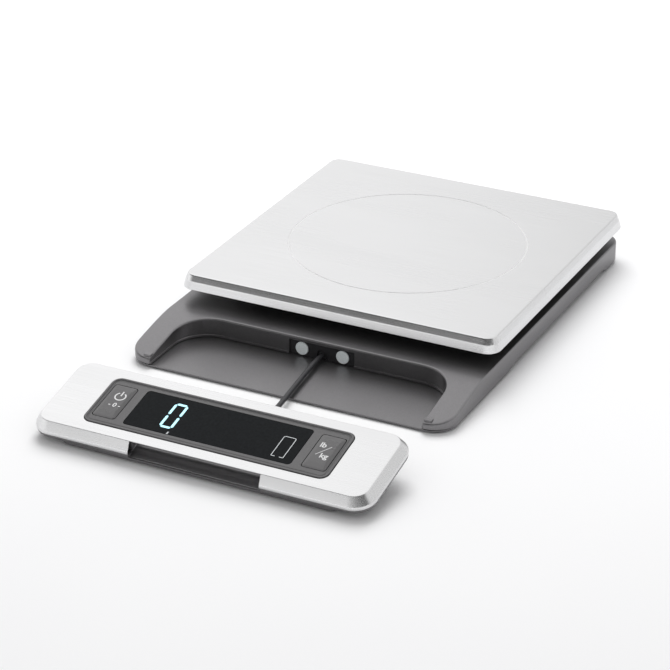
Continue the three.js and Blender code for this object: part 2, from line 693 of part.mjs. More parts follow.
function displayCover() {
  const outer = shellForm(0, COVER_LOW, DISPLAY_SHELL);
  const inner = shellForm(SHEET, COVER_LOW - CUT, FACE_UNDER);
  const opening = slab(windowRect(GAP), 0, DISPLAY_SHELL + CUT);
  const half = PULL_WIDTH / 2;
  const pull = block(-half, half, -CUT, DISPLAY_INSET + 1.2, -CUT, FACE_UNDER - 0.2);
  const studs = COVER_SCREWS.map(([x, y]) => {
    const stud = rod(STUD_RADIUS, LINER_TOP + GAP, FACE_UNDER + GAP, x, y);
    return cutBy(stud, rod(PILOT_RADIUS, 0, FACE_UNDER - OVERLAP, x, y, 16));
  });
  return mesh('display_cover', joined(cutBy(outer, inner, opening, pull), ...studs), 'steel');
}

// The finger recess in the front: a hollow under the crease that sweeps forward to a thin lip.
function pullRecess() {
  const top = FACE_UNDER + CUT;
  const outline = new THREE.Shape();
  outline.moveTo(-6, top);
  outline.lineTo(PULL_DEPTH - 2, top);
  outline.lineTo(PULL_DEPTH - 1.4, FACE_UNDER - 1.5);
  outline.quadraticCurveTo(PULL_DEPTH - 1.2, PULL_LIP + 0.4, 1, PULL_LIP);
  outline.lineTo(-6, PULL_LIP - 0.4);
  outline.closePath();
  const half = PULL_WIDTH / 2;
  const long = profileAlongX(outline, -half, half, 8);
  const plan = roundedRect(-half, half, -12, PULL_DEPTH + CUT, 1, 7);
  return long.intersect(slab(plan, -6, DISPLAY_SHELL + 2));
}

function tubOutline(inset) {
  const x = TUB_WIDTH / 2 - inset;
  return roundedRect(-x, x, TUB_FRONT + inset, TUB_REAR - inset, 6 - inset * 0.5, TUB_CORNER - inset);
}

// The flat plate that closes the shell from below, flush with the shell's sides.
function liner() {
  const plate = (inset, high) => {
    const x = SHELL_HALF - inset;
    const outline = roundedRect(-x, x, inset, DISPLAY_LENGTH - inset, DISPLAY_CORNER - inset);
    return slab(outline, LINER_BOTTOM, high);
  };
  return joined(plate(GAP, LINER_TOP - GAP), plate(SHEET + FIT, LINER_TOP));
}

// The lower box, cut off level with the plate above it.
function tub(inset, low) {
  const below = block(-SHELL_HALF, SHELL_HALF, -5, DISPLAY_LENGTH + 5, -20, LINER_TOP - GAP);
  return inDisplay(slab(tubOutline(inset), low, 30)).intersect(below);
}

// The pocket in the rear wall that the cable runs into.
function cablePocket() {
  const wall = inDisplay(block(-8.5, 8.5, TUB_REAR - 6.8, TUB_REAR - 1, TUB_BOTTOM, 10));
  const room = inDisplay(block(-7, 7, TUB_REAR - 5, TUB_REAR + CUT, TUB_BOTTOM + 1.3, 9));
  const hole = inDisplay(rodAlongY(2.1, TUB_REAR - 12, TUB_REAR, CABLE_END_X, CABLE_END_Z, 16));
  return { wall, cuts: [room, hole] };
}

function displayHousing() {
  const half = PULL_WIDTH / 2 + 3;
  const pullBlock = block(-half, half, 5.4, PULL_DEPTH + 2.4, LINER_BOTTOM, FLANGE_BOTTOM - GAP);
  const side = TUB_WIDTH / 2;
  const roomLimit = block(-side, side, PULL_DEPTH + 3.5, DISPLAY_LENGTH - 4, -30, DISPLAY_SHELL);
  const room = inDisplay(slab(tubOutline(WALL - FIT), TUB_BOTTOM + 1.3, 40)).intersect(roomLimit);
  const screwHoles = COVER_SCREWS.flatMap(([x, y]) => [
    rod(STUD_RADIUS, LINER_BOTTOM - CUT, LINER_BOTTOM + 1, x, y),
    rod(1.4, LINER_BOTTOM - CUT, LINER_TOP + CUT, x, y, 16),
  ]);
  const pocket = cablePocket();
  const lower = tub(0, TUB_BOTTOM);
  const shell = joined(cutBy(joined(liner(), lower), room), pullBlock, pocket.wall.intersect(lower));
  const strikes = [-1, 1].map((side) => inDisplay(strikeBlock(side, GAP)));
  const feet = displayFeet(GAP).map(inDisplay);
  const body = cutBy(shell, pullRecess(), ...pocket.cuts, ...strikes, ...screwHoles, ...feet);
  return mesh('display_housing', body, 'charcoal');
}

// A steel strip in the rear wall for each magnet, or with some growth the slot it sits in.
function strikeBlock(side, grow) {
  const x = side * MAGNET_SPREAD;
  const low = MAGNET_Z - 4.8;
  const rear = TUB_REAR + (grow ? CUT : -0.1);
  return block(x - 4.5 - grow, x + 4.5 + grow, TUB_REAR - 0.9 - grow, rear, low - grow, low + 4 + grow);
}

function displayBezel() {
  const flange = slab(windowRect(2.5), FLANGE_BOTTOM, FACE_UNDER - GAP);
  const raised = slab(windowRect(0), FACE_UNDER - CUT, DISPLAY_SHELL + 0.2);
  const rimForm = slab(windowRect(0), FACE_UNDER - CUT, DISPLAY_SHELL + 0.5);
  const outlineRim = cutBy(rimForm, slab(windowRect(-1.3), 0, 20));
  const lensHole = slab(lensRect(GAP), 0, 20);
  const buttonHoles = Object.values(BUTTON_SIDES).map((side) => slab(buttonRect(side, FIT), 0, 20));
  const body = cutBy(joined(flange, raised, outlineRim), lensHole, ...buttonHoles);
  return mesh('display_bezel', body, 'bezel');
}

function lensRect(grow) {
  const x = LENS_WIDTH / 2 + grow;
  const y = LENS_LENGTH / 2 + grow;
  return roundedRect(-x, x, WINDOW_MIDDLE - y, WINDOW_MIDDLE + y, 2 + grow);
}

function displayLens() {
  return mesh('display_lens', slab(lensRect(0), FACE_UNDER - 0.9, DISPLAY_SHELL + 0.1, 4), 'glass');
}

function buttonRect(side, grow) {
  const x = side * BUTTON_OFFSET;
  const halfX = BUTTON_WIDTH / 2 + grow;
  const halfY = BUTTON_LENGTH / 2 + grow;
  return roundedRect(x - halfX, x + halfX, WINDOW_MIDDLE - halfY, WINDOW_MIDDLE + halfY, 1.5 + grow);
}

function button(name, side) {
  const x = side * BUTTON_OFFSET;
  const halfX = BUTTON_WIDTH / 2;
  const halfY = BUTTON_LENGTH / 2;
  const cap = beveledSlab(x - halfX, x + halfX, WINDOW_MIDDLE - halfY, WINDOW_MIDDLE + halfY, 2,
    FACE_UNDER - 1.2, DISPLAY_SHELL + 0.9, 0.7, 1.2, 3);
  const stem = rod(1.8, FACE_UNDER - STEM_LENGTH, FACE_UNDER - 1, x, WINDOW_MIDDLE);
  return mesh(name, joined(cap, stem), 'bezel');
}

const BOARD_TOP = 3.6;
const STEM_LENGTH = 2;

function displayBoard() {
  const plate = block(-76, 76, PULL_DEPTH + 4.2, DISPLAY_LENGTH - 9, BOARD_TOP - 1.4, BOARD_TOP);
  return mesh('display_board', plate, 'board');
}

function switchDome(name, side) {
  const x = side * BUTTON_OFFSET;
  const lift = 0.1;
  const top = FACE_UNDER - STEM_LENGTH - BUTTON_TRAVEL - lift;
  const body = block(x - 3, x + 3, WINDOW_MIDDLE - 3, WINDOW_MIDDLE + 3, BOARD_TOP + lift, top - 0.3);
  return mesh(name, joined(body, rod(1.7, top - 0.4, top, x, WINDOW_MIDDLE)), 'zinc');
}

function ledModule() {
  const x = LENS_WIDTH / 2 - 3;
  const y = LENS_LENGTH / 2 - 2;
  const body = block(-x, x, WINDOW_MIDDLE - y, WINDOW_MIDDLE + y, BOARD_TOP + GAP, FACE_UNDER - 1.2);
  return mesh('led_module', body, 'black');
}

function strikePlate(name, side) {
  return mesh(name, inDisplay(strikeBlock(side, 0)), 'zinc');
}

function displayFeet(grow) {
  const places = [[-70, -152], [70, -152], [-70, -125], [70, -125]];
  const low = grow ? -CUT : 0;
  return places.map(([x, y]) => rod(3.5 + grow, low, TUB_BOTTOM + 0.4 + grow, x, y));
}

function strainRelief() {
  const sleeve = rodAlongY(1.8, TUB_REAR - 9, TUB_REAR - 4, CABLE_END_X, CABLE_END_Z, 16);
  const collar = rodAlongY(2.4, TUB_REAR - 4.7, TUB_REAR - 2.8, CABLE_END_X, CABLE_END_Z, 16);
  return mesh('cable_strain_relief', joined(sleeve, collar), 'rubber');
}

// ---- cable ----
const CABLE_START_Y = BAY_WALL_Y + 1.2;
const CABLE_END_X = 0;
const CABLE_END_Z = 4.9;
const CABLE_ROUTE = [
  [0, -12.3, 5.1],
  [-0.1, -17, 5.1],
  [0.2, -23, 5],
  [0.7, -30, 4.9],
  [1.3, -37, 4.8],
  [2, -44, 4.7],
  [2.8, -51, 4.6],
  [3.6, -58, 4.6],
  [4.4, -65, 4.5],
  [5.2, -72, 4.5],
  [5.9, -79, 4.5],
  [6.2, -86, 4.5],
  [5.6, -93, 4.6],
  [4.2, -100, 4.7],
  [2.3, -106, 4.8],
  [0.6, -111, 4.9],
  [0, -116.4, 4.9],
];

function cable() {
  const path = new THREE.CatmullRomCurve3(CABLE_ROUTE.map(([x, y, z]) => new THREE.Vector3(x, y, z)));
  const section = new THREE.Shape();
  section.absarc(0, 0, CABLE_DIAMETER / 2, 0, 2 * Math.PI);
  const options = { steps: 18, extrudePath: path, curveSegments: 4 };
  return mesh('cable', solid(new THREE.ExtrudeGeometry(section, options)), 'rubber');
}

// ---- assembly ----
const scale = new THREE.Group();
scale.position.y = -(DISPLAY_FRONT + PLATTER_DEPTH) / 2;

const base = new THREE.Group();
base.add(baseUpperHousing(), baseBottomCover(), magnetPanel(), cableGuide(), cable());
base.add(magnet('magnet_left', -1), magnet('magnet_right', 1));
base.add(loadCell(), cellMount(), mainBoard(), batteryTray(), batteryDoor());
base.add(batteryContact('battery_contact_left', -1), batteryContact('battery_contact_right', 1));
for (let index = 0; index < BATTERY_COUNT; index += 1) {
  base.add(battery(index));
}
FOOT_PLACES.forEach(([x, y], index) => base.add(foot(`foot_${index + 1}`, x, y)));
BASE_SCREW_PLACES.forEach(([x, y], index) => {
  base.add(placed(screw(`base_screw_${index + 1}`, 2.6, 1.2, 1.2, 6), x, y, FLOOR_TOP + 0.1));
});
CELL_SCREW_X.forEach((x, index) => {
  const piece = screw(`cell_screw_${index + 1}`, 3.8, 1, SCREW_RADIUS, 11);
  base.add(placed(piece, FIXED_END_X + x, MIDDLE_Y, FLOOR_TOP - 0.1));
});

const weighing = new THREE.Group();
weighing.add(platformCarrier(), platformSpacer(), platter());
const padX = PLATTER_WIDTH / 2 - PAD_INSET;
const padYs = [PAD_INSET, PLATTER_DEPTH - PAD_INSET];
let padNumber = 0;
for (const y of padYs) {
  for (const x of [-padX, padX]) {
    padNumber += 1;
    weighing.add(platterPad(`platter_pad_${padNumber}`, x, y));
  }
}
CELL_SCREW_X.forEach((x, index) => {
  const piece = screw(`platform_screw_${index + 1}`, 3.8, 1.8, SCREW_RADIUS, 12);
  piece.rotation.x = Math.PI;
  weighing.add(placed(piece, FREE_END_X + x, MIDDLE_Y, CARRIER_TOP + GAP));
});

const display = new THREE.Group();
display.rotation.x = TILT;
display.position.set(0, DISPLAY_FRONT, DISPLAY_EDGE_Z);
display.add(displayCover(), displayHousing(), displayBezel(), displayLens(), displayBoard(), ledModule());
for (const [name, side] of Object.entries(BUTTON_SIDES)) {
  display.add(button(`${name}_button`, side), switchDome(`${name}_switch`, side));
}
display.add(strikePlate('strike_plate_left', -1), strikePlate('strike_plate_right', 1));
COVER_SCREWS.forEach(([x, y], index) => {
  const piece = screw(`cover_screw_${index + 1}`, 2.2, 0.7, 1.1, 5.5);
  display.add(placed(piece, x, y, LINER_BOTTOM + 0.9));
});

const displayUnderside = new THREE.Group();
displayUnderside.add(strainRelief());
displayFeet(0).forEach((body, index) => {
  displayUnderside.add(mesh(`display_foot_${index + 1}`, body, 'rubber'));
});

scale.add(base, weighing, display, displayUnderside);
export default scale;
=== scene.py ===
"""Looks for the kitchen scale with a pull-out display. Metres, +X right, +Y back, +Z up."""

import json
import math

import bmesh
import bpy
from mathutils import Matrix, Vector


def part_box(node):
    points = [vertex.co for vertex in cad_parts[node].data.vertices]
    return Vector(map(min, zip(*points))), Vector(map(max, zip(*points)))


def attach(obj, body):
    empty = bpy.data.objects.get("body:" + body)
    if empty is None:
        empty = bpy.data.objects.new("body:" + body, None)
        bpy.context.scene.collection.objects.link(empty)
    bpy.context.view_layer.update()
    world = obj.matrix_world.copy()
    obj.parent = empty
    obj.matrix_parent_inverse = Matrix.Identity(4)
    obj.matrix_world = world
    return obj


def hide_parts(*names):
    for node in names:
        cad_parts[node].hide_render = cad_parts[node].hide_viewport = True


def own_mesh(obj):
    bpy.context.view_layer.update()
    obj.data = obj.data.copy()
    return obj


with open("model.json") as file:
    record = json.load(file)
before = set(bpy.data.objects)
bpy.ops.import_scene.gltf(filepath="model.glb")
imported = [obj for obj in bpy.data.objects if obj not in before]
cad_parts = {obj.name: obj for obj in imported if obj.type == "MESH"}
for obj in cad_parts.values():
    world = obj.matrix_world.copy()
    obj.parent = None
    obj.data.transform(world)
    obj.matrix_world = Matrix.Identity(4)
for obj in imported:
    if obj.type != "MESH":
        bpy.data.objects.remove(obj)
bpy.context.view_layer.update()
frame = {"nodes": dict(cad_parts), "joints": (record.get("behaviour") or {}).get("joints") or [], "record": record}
JOINTS = {joint["name"]: joint for joint in frame["joints"]}
NODES = frame["nodes"]
MM = 0.001


def mm(*sizes):
    """Sizes in millimetres as metres."""
    return [size * MM for size in sizes]


# ---- camera ----
CAMERA_AZIMUTH = math.radians(26.64)
CAMERA_ELEVATION = math.radians(26.54)
CAMERA_ROLL = math.radians(-0.07)
CAMERA_DISTANCE = 1.4834
CAMERA_TARGET = Vector((-0.0087, 0.0035, 0))
CAMERA_LENS = 136.1
CAMERA_SHIFT = -0.0031


def make_camera():
    data = bpy.data.cameras.new("camera")
    data.lens = CAMERA_LENS
    data.shift_x = CAMERA_SHIFT
    camera = bpy.data.objects.new("camera", data)
    bpy.context.scene.collection.objects.link(camera)
    level = math.cos(CAMERA_ELEVATION)
    back = Vector(
        (
            math.sin(CAMERA_AZIMUTH) * level,
            -math.cos(CAMERA_AZIMUTH) * level,
            math.sin(CAMERA_ELEVATION),
        )
    )
    camera.location = CAMERA_TARGET + back * CAMERA_DISTANCE
    turn = (-back).to_track_quat("-Z", "Y").to_matrix()
    camera.rotation_euler = (turn @ Matrix.Rotation(CAMERA_ROLL, 3, "Z")).to_euler()
    bpy.context.scene.camera = camera


# ---- shaders ----
def add(tree, kind, settings=None, **inputs):
    """A node with its settings, and with inputs that are numbers or other nodes' outputs."""
    node = tree.nodes.new("ShaderNode" + kind)
    for key, value in (settings or {}).items():
        setattr(node, key, value)
    for key, value in inputs.items():
        socket = node.inputs[int(key[1:]) if key[0] == "n" and key[1:].isdigit() else key]
        if isinstance(value, bpy.types.NodeSocket):
            tree.links.new(value, socket)
        else:
            socket.default_value = value
    return node


def new_shader(name, **values):
    material = bpy.data.materials.new(name)
    material.use_nodes = True
    tree = material.node_tree
    shader = tree.nodes["Principled BSDF"]
    for key, value in values.items():
        shader.inputs[key.replace("_", " ")].default_value = value
    return material, tree, shader


def stretched(tree, across=(1, 1, 1)):
    """Object coordinates in metres, scaled on each axis."""
    coordinates = add(tree, "TexCoord").outputs["Object"]
    return add(tree, "Mapping", Vector=coordinates, Scale=across).outputs["Vector"]


def noise(tree, vector, scale, detail=2.0):
    node = add(tree, "TexNoise", Vector=vector, Scale=scale, Detail=detail)
    return node.outputs["Fac"]


NOISE_MIDDLE = (0.3, 0.7)


def spread(tree, value, low, high, source=NOISE_MIDDLE):
    """A value stretched from its source range, by default noise's usual one, to low..high."""
    names = {"From Min": source[0], "From Max": source[1], "To Min": low, "To Max": high}
    return add(tree, "MapRange", Value=value, **names).outputs["Result"]


def tinted(tree, shader, factor, dark, light):
    """Base colour that runs between two colours."""
    mix = add(tree, "Mix", {"data_type": "RGBA"}, Factor=factor)
    mix.inputs[6].default_value = (*dark, 1)
    mix.inputs[7].default_value = (*light, 1)
    tree.links.new(mix.outputs[2], shader.inputs["Base Color"])


def roughened(tree, shader, value):
    tree.links.new(value, shader.inputs["Roughness"])


def bumped(tree, shader, height, distance):
    node = add(tree, "Bump", Height=height, Distance=distance, Strength=1.0)
    tree.links.new(node.outputs["Normal"], shader.inputs["Normal"])


def scaled(colour, factor):
    return tuple(c * factor for c in colour)


BRUSH_LINES = (25, 3200, 3200)
BROAD_SMEARS = (8, 30, 30)


def brushed_metal(name, colour, rough, lines=BRUSH_LINES, depth=1.5e-6):
    """Sheet metal with fine lines along X, and broad faint smears."""
    material, tree, shader = new_shader(name, Metallic=1.0)
    grain = noise(tree, stretched(tree, lines), 1.0, 3.0)
    smear = noise(tree, stretched(tree, BROAD_SMEARS), 1.0)
    tinted(tree, shader, spread(tree, grain, 0, 1), scaled(colour, 0.93), colour)
    both = add(tree, "Math", {"operation": "MULTIPLY_ADD"}, n0=grain, n1=0.5, n2=smear)
    uneven = spread(tree, both.outputs[0], rough - 0.05, rough + 0.05, source=(0.5, 1.0))
    roughened(tree, shader, uneven)
    bumped(tree, shader, grain, depth)
    return material


TONE_CHANGE = 0.12


def moulded(name, colour, rough=0.45, grain=2600):
    """Moulded plastic: a fine even texture, slight change of tone, and faint handling marks."""
    material, tree, shader = new_shader(name, Metallic=0.0)
    fine = noise(tree, stretched(tree), grain, 3.0)
    broad = noise(tree, stretched(tree), 35.0, 4.0)
    dark, light = scaled(colour, 1 - TONE_CHANGE), scaled(colour, 1 + TONE_CHANGE)
    tinted(tree, shader, spread(tree, fine, 0, 1), dark, light)
    roughened(tree, shader, spread(tree, broad, rough - 0.04, rough + 0.05))
    bumped(tree, shader, fine, 12e-6)
    return material


FLAKE_SCALE = 3400.0
FLAKE_CHANGE = 0.08


def metallic_paint(name, colour, rough, metallic):
    """Satin finish with small, slightly brighter and darker flakes in it."""
    material, tree, shader = new_shader(name, Metallic=metallic)
    cells = add(tree, "TexVoronoi", Vector=stretched(tree), Scale=FLAKE_SCALE)
    flake = add(tree, "SeparateColor", Color=cells.outputs["Color"]).outputs[0]
    fine = noise(tree, stretched(tree), 2400.0, 3.0)
    tinted(tree, shader, flake, scaled(colour, 1 - FLAKE_CHANGE), scaled(colour, 1 + FLAKE_CHANGE))
    broad = noise(tree, stretched(tree), 28.0, 4.0)
    roughened(tree, shader, spread(tree, broad, rough - 0.03, rough + 0.04))
    bumped(tree, shader, fine, 2e-6)
    return material


def glossy_lens():
    """Smoked window, nearly black, with a little dust."""
    material, tree, shader = new_shader("lens_black", IOR=1.5, Specular_IOR_Level=0.06)
    dust = noise(tree, stretched(tree), 700.0, 5.0)
    dark, light = (0.0035, 0.0045, 0.0055), (0.008, 0.0095, 0.011)
    tinted(tree, shader, spread(tree, dust, 0, 1), dark, light)
    smudges = noise(tree, stretched(tree), 22.0, 4.0)
    roughened(tree, shader, spread(tree, smudges, 0.03, 0.09))
    return material


def cable_jacket():
    """Smooth round jacket with faint rings left by extrusion."""
    material, tree, shader = new_shader("cable_rubber", Metallic=0.0)
    rings = noise(tree, stretched(tree, (300, 1500, 300)), 1.0, 2.0)
    tinted(tree, shader, spread(tree, rings, 0, 1), (0.022, 0.022, 0.024), (0.04, 0.04, 0.043))
    roughened(tree, shader, spread(tree, rings, 0.32, 0.42))
    bumped(tree, shader, rings, 8e-6)
    return material


def solder_mask():
    """Green board with lighter copper tracks under the mask."""
    material, tree, shader = new_shader("board_green")
    tracks = add(
        tree, "TexBrick", Vector=stretched(tree), Scale=160.0, **{"Mortar Size": 0.06}
    ).outputs["Fac"]
    tinted(tree, shader, tracks, (0.012, 0.11, 0.04), (0.03, 0.26, 0.1))
    roughened(tree, shader, spread(tree, noise(tree, stretched(tree), 300.0), 0.3, 0.45))
    bumped(tree, shader, tracks, 30e-6)
    return material


COPPER_BAND_START = 8 * MM  # past the middle of the cell


def battery_wrap():
    """Plain two-tone shrink wrap: dark body and a copper band at the end."""
    material, tree, shader = new_shader("battery_wrap", Metallic=0.4)
    along = add(tree, "SeparateXYZ", Vector=stretched(tree)).outputs["X"]
    low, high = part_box("battery_1")
    start = (low.x + high.x) / 2 + COPPER_BAND_START
    band = add(tree, "Math", {"operation": "GREATER_THAN"}, n0=along, n1=start)
    tinted(tree, shader, band.outputs[0], (0.03, 0.03, 0.032), (0.5, 0.26, 0.1))
    roughened(tree, shader, spread(tree, noise(tree, stretched(tree), 400.0), 0.22, 0.34))
    return material


def printed(name, colour, glow=0.0):
    """Thin ink or light: a little uneven, as print and segments are."""
    material, tree, shader = new_shader(name, Roughness=0.4)
    uneven = spread(tree, noise(tree, stretched(tree), 1400.0, 2.0), 0, 1)
    tinted(tree, shader, uneven, scaled(colour, 0.9), colour)
    if glow:
        shader.inputs["Emission Color"].default_value = (*colour, 1)
        light = spread(tree, uneven, glow * 0.9, glow)
        tree.links.new(light, shader.inputs["Emission Strength"])
    return material


STEEL = (0.72, 0.72, 0.725)
CHARCOAL = (0.215, 0.21, 0.216)
DARK_GREY = (0.12, 0.118, 0.12)
EVEN_GRAIN = (600, 600, 600)
MATERIALS = {
    "platter_steel": brushed_metal("platter_steel", STEEL, 0.25),
    "display_steel": brushed_metal("display_steel", STEEL, 0.27),
    "charcoal_plastic": metallic_paint("charcoal_plastic", CHARCOAL, 0.34, 0.85),
    "black_plastic": moulded("black_plastic", (0.022, 0.022, 0.024)),
    "bezel_plastic": metallic_paint("bezel_plastic", DARK_GREY, 0.34, 0.5),
    "button_plastic": metallic_paint("button_plastic", DARK_GREY, 0.28, 0.6),
    "lens_black": glossy_lens(),
    "cable_rubber": cable_jacket(),
    "foot_rubber": moulded("foot_rubber", (0.025, 0.025, 0.026), 0.8, grain=1500),
    "magnet_nickel": metallic_paint("magnet_nickel", (0.9, 0.96, 0.97), 0.3, 0.0),
    "zinc_steel": brushed_metal("zinc_steel", (0.6, 0.61, 0.62), 0.32, EVEN_GRAIN),
    "load_cell_aluminium": brushed_metal("load_cell_aluminium", (0.75, 0.76, 0.77), 0.36),
    "board_green": solder_mask(),
    "battery_wrap": battery_wrap(),
}
RING_MARK = brushed_metal("ring_mark", (0.86, 0.86, 0.86), 0.5, (1500, 1500, 1500), 4e-6)
WHITE_PRINT = printed("white_print", (0.82, 0.82, 0.82))
SEGMENT_LIGHT = printed("segment_light", (0.5, 0.9, 1.0), 0.62)
GAUGE_PRINT = printed("gauge_print", (0.75, 0.78, 0.8))


# ---- mesh tools ----
CORNER_STEPS = 12
FLAT_ANGLE = math.radians(28)
EDGE_ANGLE = math.radians(32)


def rounded_rect(x0, x1, y0, y1, radius, front=(), side_stops=0, steps=CORNER_STEPS):
    """Points of a rounded rectangle, anticlockwise from the front left, with extra stops."""
    centres = [(x1 - radius, y0 + radius), (x1 - radius, y1 - radius)]
    centres += [(x0 + radius, y1 - radius), (x0 + radius, y0 + radius)]
    points = [(x, y0) for x in front]
    for corner, (cx, cy) in enumerate(centres):
        for step in range(steps + 1):
            angle = math.radians(90) * (corner - 1 + step / steps)
            points.append((cx + radius * math.cos(angle), cy + radius * math.sin(angle)))
        if corner < 3 or not front:
            nx, ny = centres[(corner + 1) % 4]
            turn = math.radians(90) * corner
            sx, sy = radius * math.cos(turn), radius * math.sin(turn)
            for stop in range(1, side_stops + 1):
                share = stop / (side_stops + 1)
                points.append((cx + sx + (nx - cx) * share, cy + sy + (ny - cy) * share))
    return points


def filleted(corners, steps=3):
    """A profile of (across, up, radius) corners with each corner eased over its radius."""
    profile = []
    for index, (across, up, radius) in enumerate(corners):
        here = Vector((across, up))
        if not radius:
            profile.append(tuple(here))
            continue
        following = corners[(index + 1) % len(corners)]
        before = (Vector(corners[index - 1][:2]) - here).normalized() * radius
        after = (Vector(following[:2]) - here).normalized() * radius
        for step in range(steps + 1):
            t = step / steps
            profile.append(tuple(here + before * (1 - t) ** 2 + after * t**2))
    return profile


def at_height(outline, height):
    return [Vector((x, y, height)) for x, y in outline]


def loft(loops, wrapped=False, skip=lambda row, column: False):
    """A mesh between equal loops, capped at both ends unless the last joins the first."""
    count = len(loops[0])
    vertices = [point for loop in loops for point in loop]
    rows = len(loops) if wrapped else len(loops) - 1
    faces = []
    for row in range(rows):
        low, high = row * count, (row + 1) % len(loops) * count
        for column in range(count):
            following = (column + 1) % count
            if not skip(row, column):
                faces.append((low + column, low + following, high + following, high + column))
    if not wrapped:
        faces.append(tuple(reversed(range(count))))
        faces.append(tuple(range(len(vertices) - count, len(vertices))))
    mesh = bpy.data.meshes.new("loft")
    mesh.from_pydata(vertices, [], faces)
    return mesh


def prism(outline, low, high):
    return loft([at_height(outline, low), at_height(outline, high)])


def tidy_normals(mesh):
    """Outward faces, smooth but for real edges."""
    shape = bmesh.new()
    shape.from_mesh(mesh)
    bmesh.ops.recalc_face_normals(shape, faces=shape.faces)
    for edge in shape.edges:
        edge.smooth = len(edge.link_faces) == 2 and edge.calc_face_angle(0) < FLAT_ANGLE
    for face in shape.faces:
        face.smooth = True
    shape.to_mesh(mesh)
    shape.free()


def softened(obj, width):
    """Rounds the object's real edges."""
    bevel = obj.modifiers.new("soft_edges", "BEVEL")
    bevel.width = width
    bevel.segments = 2
    bevel.limit_method = "ANGLE"
    bevel.angle_limit = EDGE_ANGLE
    return bevel


def weighted(obj):
    normals = obj.modifiers.new("flat_faces", "WEIGHTED_NORMAL")
    normals.keep_sharp = True


def link(name, mesh):
    obj = bpy.data.objects.new(name, mesh)
    bpy.context.scene.collection.objects.link(obj)
    return obj


def piece(name, mesh, body, slot=None, nodes=(), material=None, place=None):
    """A finished piece in the row frame, riding on its body."""
    if place:
        mesh.transform(place)
    tidy_normals(mesh)
    if not mesh.materials:
        mesh.materials.append(material or MATERIALS[slot])
    obj = link(name, mesh)
    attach(obj, body)
    if nodes:
        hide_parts(*nodes)
    return obj


def combined(mesh, others, operation):
    """The mesh with each of the others taken out of it or added to it."""
    obj = link("being_cut", mesh)
    tools = [link("cutter", cutter) for cutter in others]
    for tool in tools:
        cut = obj.modifiers.new("cut", "BOOLEAN")
        cut.operation = operation
        cut.object = tool
        cut.solver = "EXACT"
    depsgraph = bpy.context.evaluated_depsgraph_get()
    result = bpy.data.meshes.new_from_object(obj.evaluated_get(depsgraph))
    for extra in [obj, *tools]:
        bpy.data.objects.remove(extra)
    return result


def swept(points, radius, sides=20):
    """A round tube along points in the row frame."""
    loops = []
    for index, point in enumerate(points):
        ahead = points[min(index + 1, len(points) - 1)] - points[max(index - 1, 0)]
        across = ahead.cross(Vector((0, 0, 1))).normalized()
        up = across.cross(ahead).normalized()
        turns = [2 * math.pi * side / sides for side in range(sides)]
        loops.append([point + (across * math.cos(t) + up * math.sin(t)) * radius for t in turns])
    return loft(loops)


# ---- cable ----
CABLE_DIAMETER = 0.003
CABLE_ROUTE = [
    (0, -0.0323, 0.0051),
    (-0.0001, -0.037, 0.0051),
    (0.0002, -0.043, 0.005),
    (0.0007, -0.05, 0.0049),
    (0.0013, -0.057, 0.0048),
    (0.002, -0.064, 0.0047),
    (0.0028, -0.071, 0.0046),
    (0.0036, -0.078, 0.0046),
    (0.0044, -0.085, 0.0045),
    (0.0052, -0.092, 0.0045),
    (0.0059, -0.099, 0.0045),
    (0.0062, -0.106, 0.0045),
    (0.0056, -0.113, 0.0046),
    (0.0042, -0.12, 0.0047),
    (0.0023, -0.126, 0.0048),
    (0.0006, -0.131, 0.0049),
    (0, -0.1364, 0.0049),
]
CABLE_STEPS = 6


def smooth_route(route, steps):
    """Catmull-Rom points through the route."""
    points = [Vector(p) for p in route]
    padded = [2 * points[0] - points[1], *points, 2 * points[-1] - points[-2]]
    smooth = []
    for index in range(len(points) - 1):
        a, b, c, d = padded[index : index + 4]
        for step in range(steps):
            t = step / steps
            smooth.append(
                0.5
                * (
                    2 * b
                    + (c - a) * t
                    + (2 * a - 5 * b + 4 * c - d) * t**2
                    + (3 * b - a - 3 * c + d) * t**3
                )
            )
    return smooth + [points[-1]]


def make_cable():
    path = smooth_route(CABLE_ROUTE, CABLE_STEPS)
    tube = piece(
        "cable_jacket", swept(path, CABLE_DIAMETER / 2), "base", "cable_rubber", ["cable"]
    )
    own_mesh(tube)


# ---- platter ----
SHEET = 0.8 * MM
PLATTER_CORNER = 9 * MM
BEVEL_HEIGHT = 3.9 * MM
BEVEL_INSET = 2.9 * MM
SIDE_LEAN = 1.2 * MM
RING_RADIUS = 72 * MM
RING_WIDTH = 0.7 * MM
RING_DEPTH = 0.15 * MM
RING_LIP = 0.1 * MM
PLATTER_SIDE_STOPS = 18


def ring_loop(outline, centre, radius, height):
    """A circle with a point in the direction of each of the outline's points."""
    cx, cy = centre
    angles = [math.atan2(y - cy, x - cx) for x, y in outline]
    return [
        Vector((cx + radius * math.cos(angle), cy + radius * math.sin(angle), height))
        for angle in angles
    ]


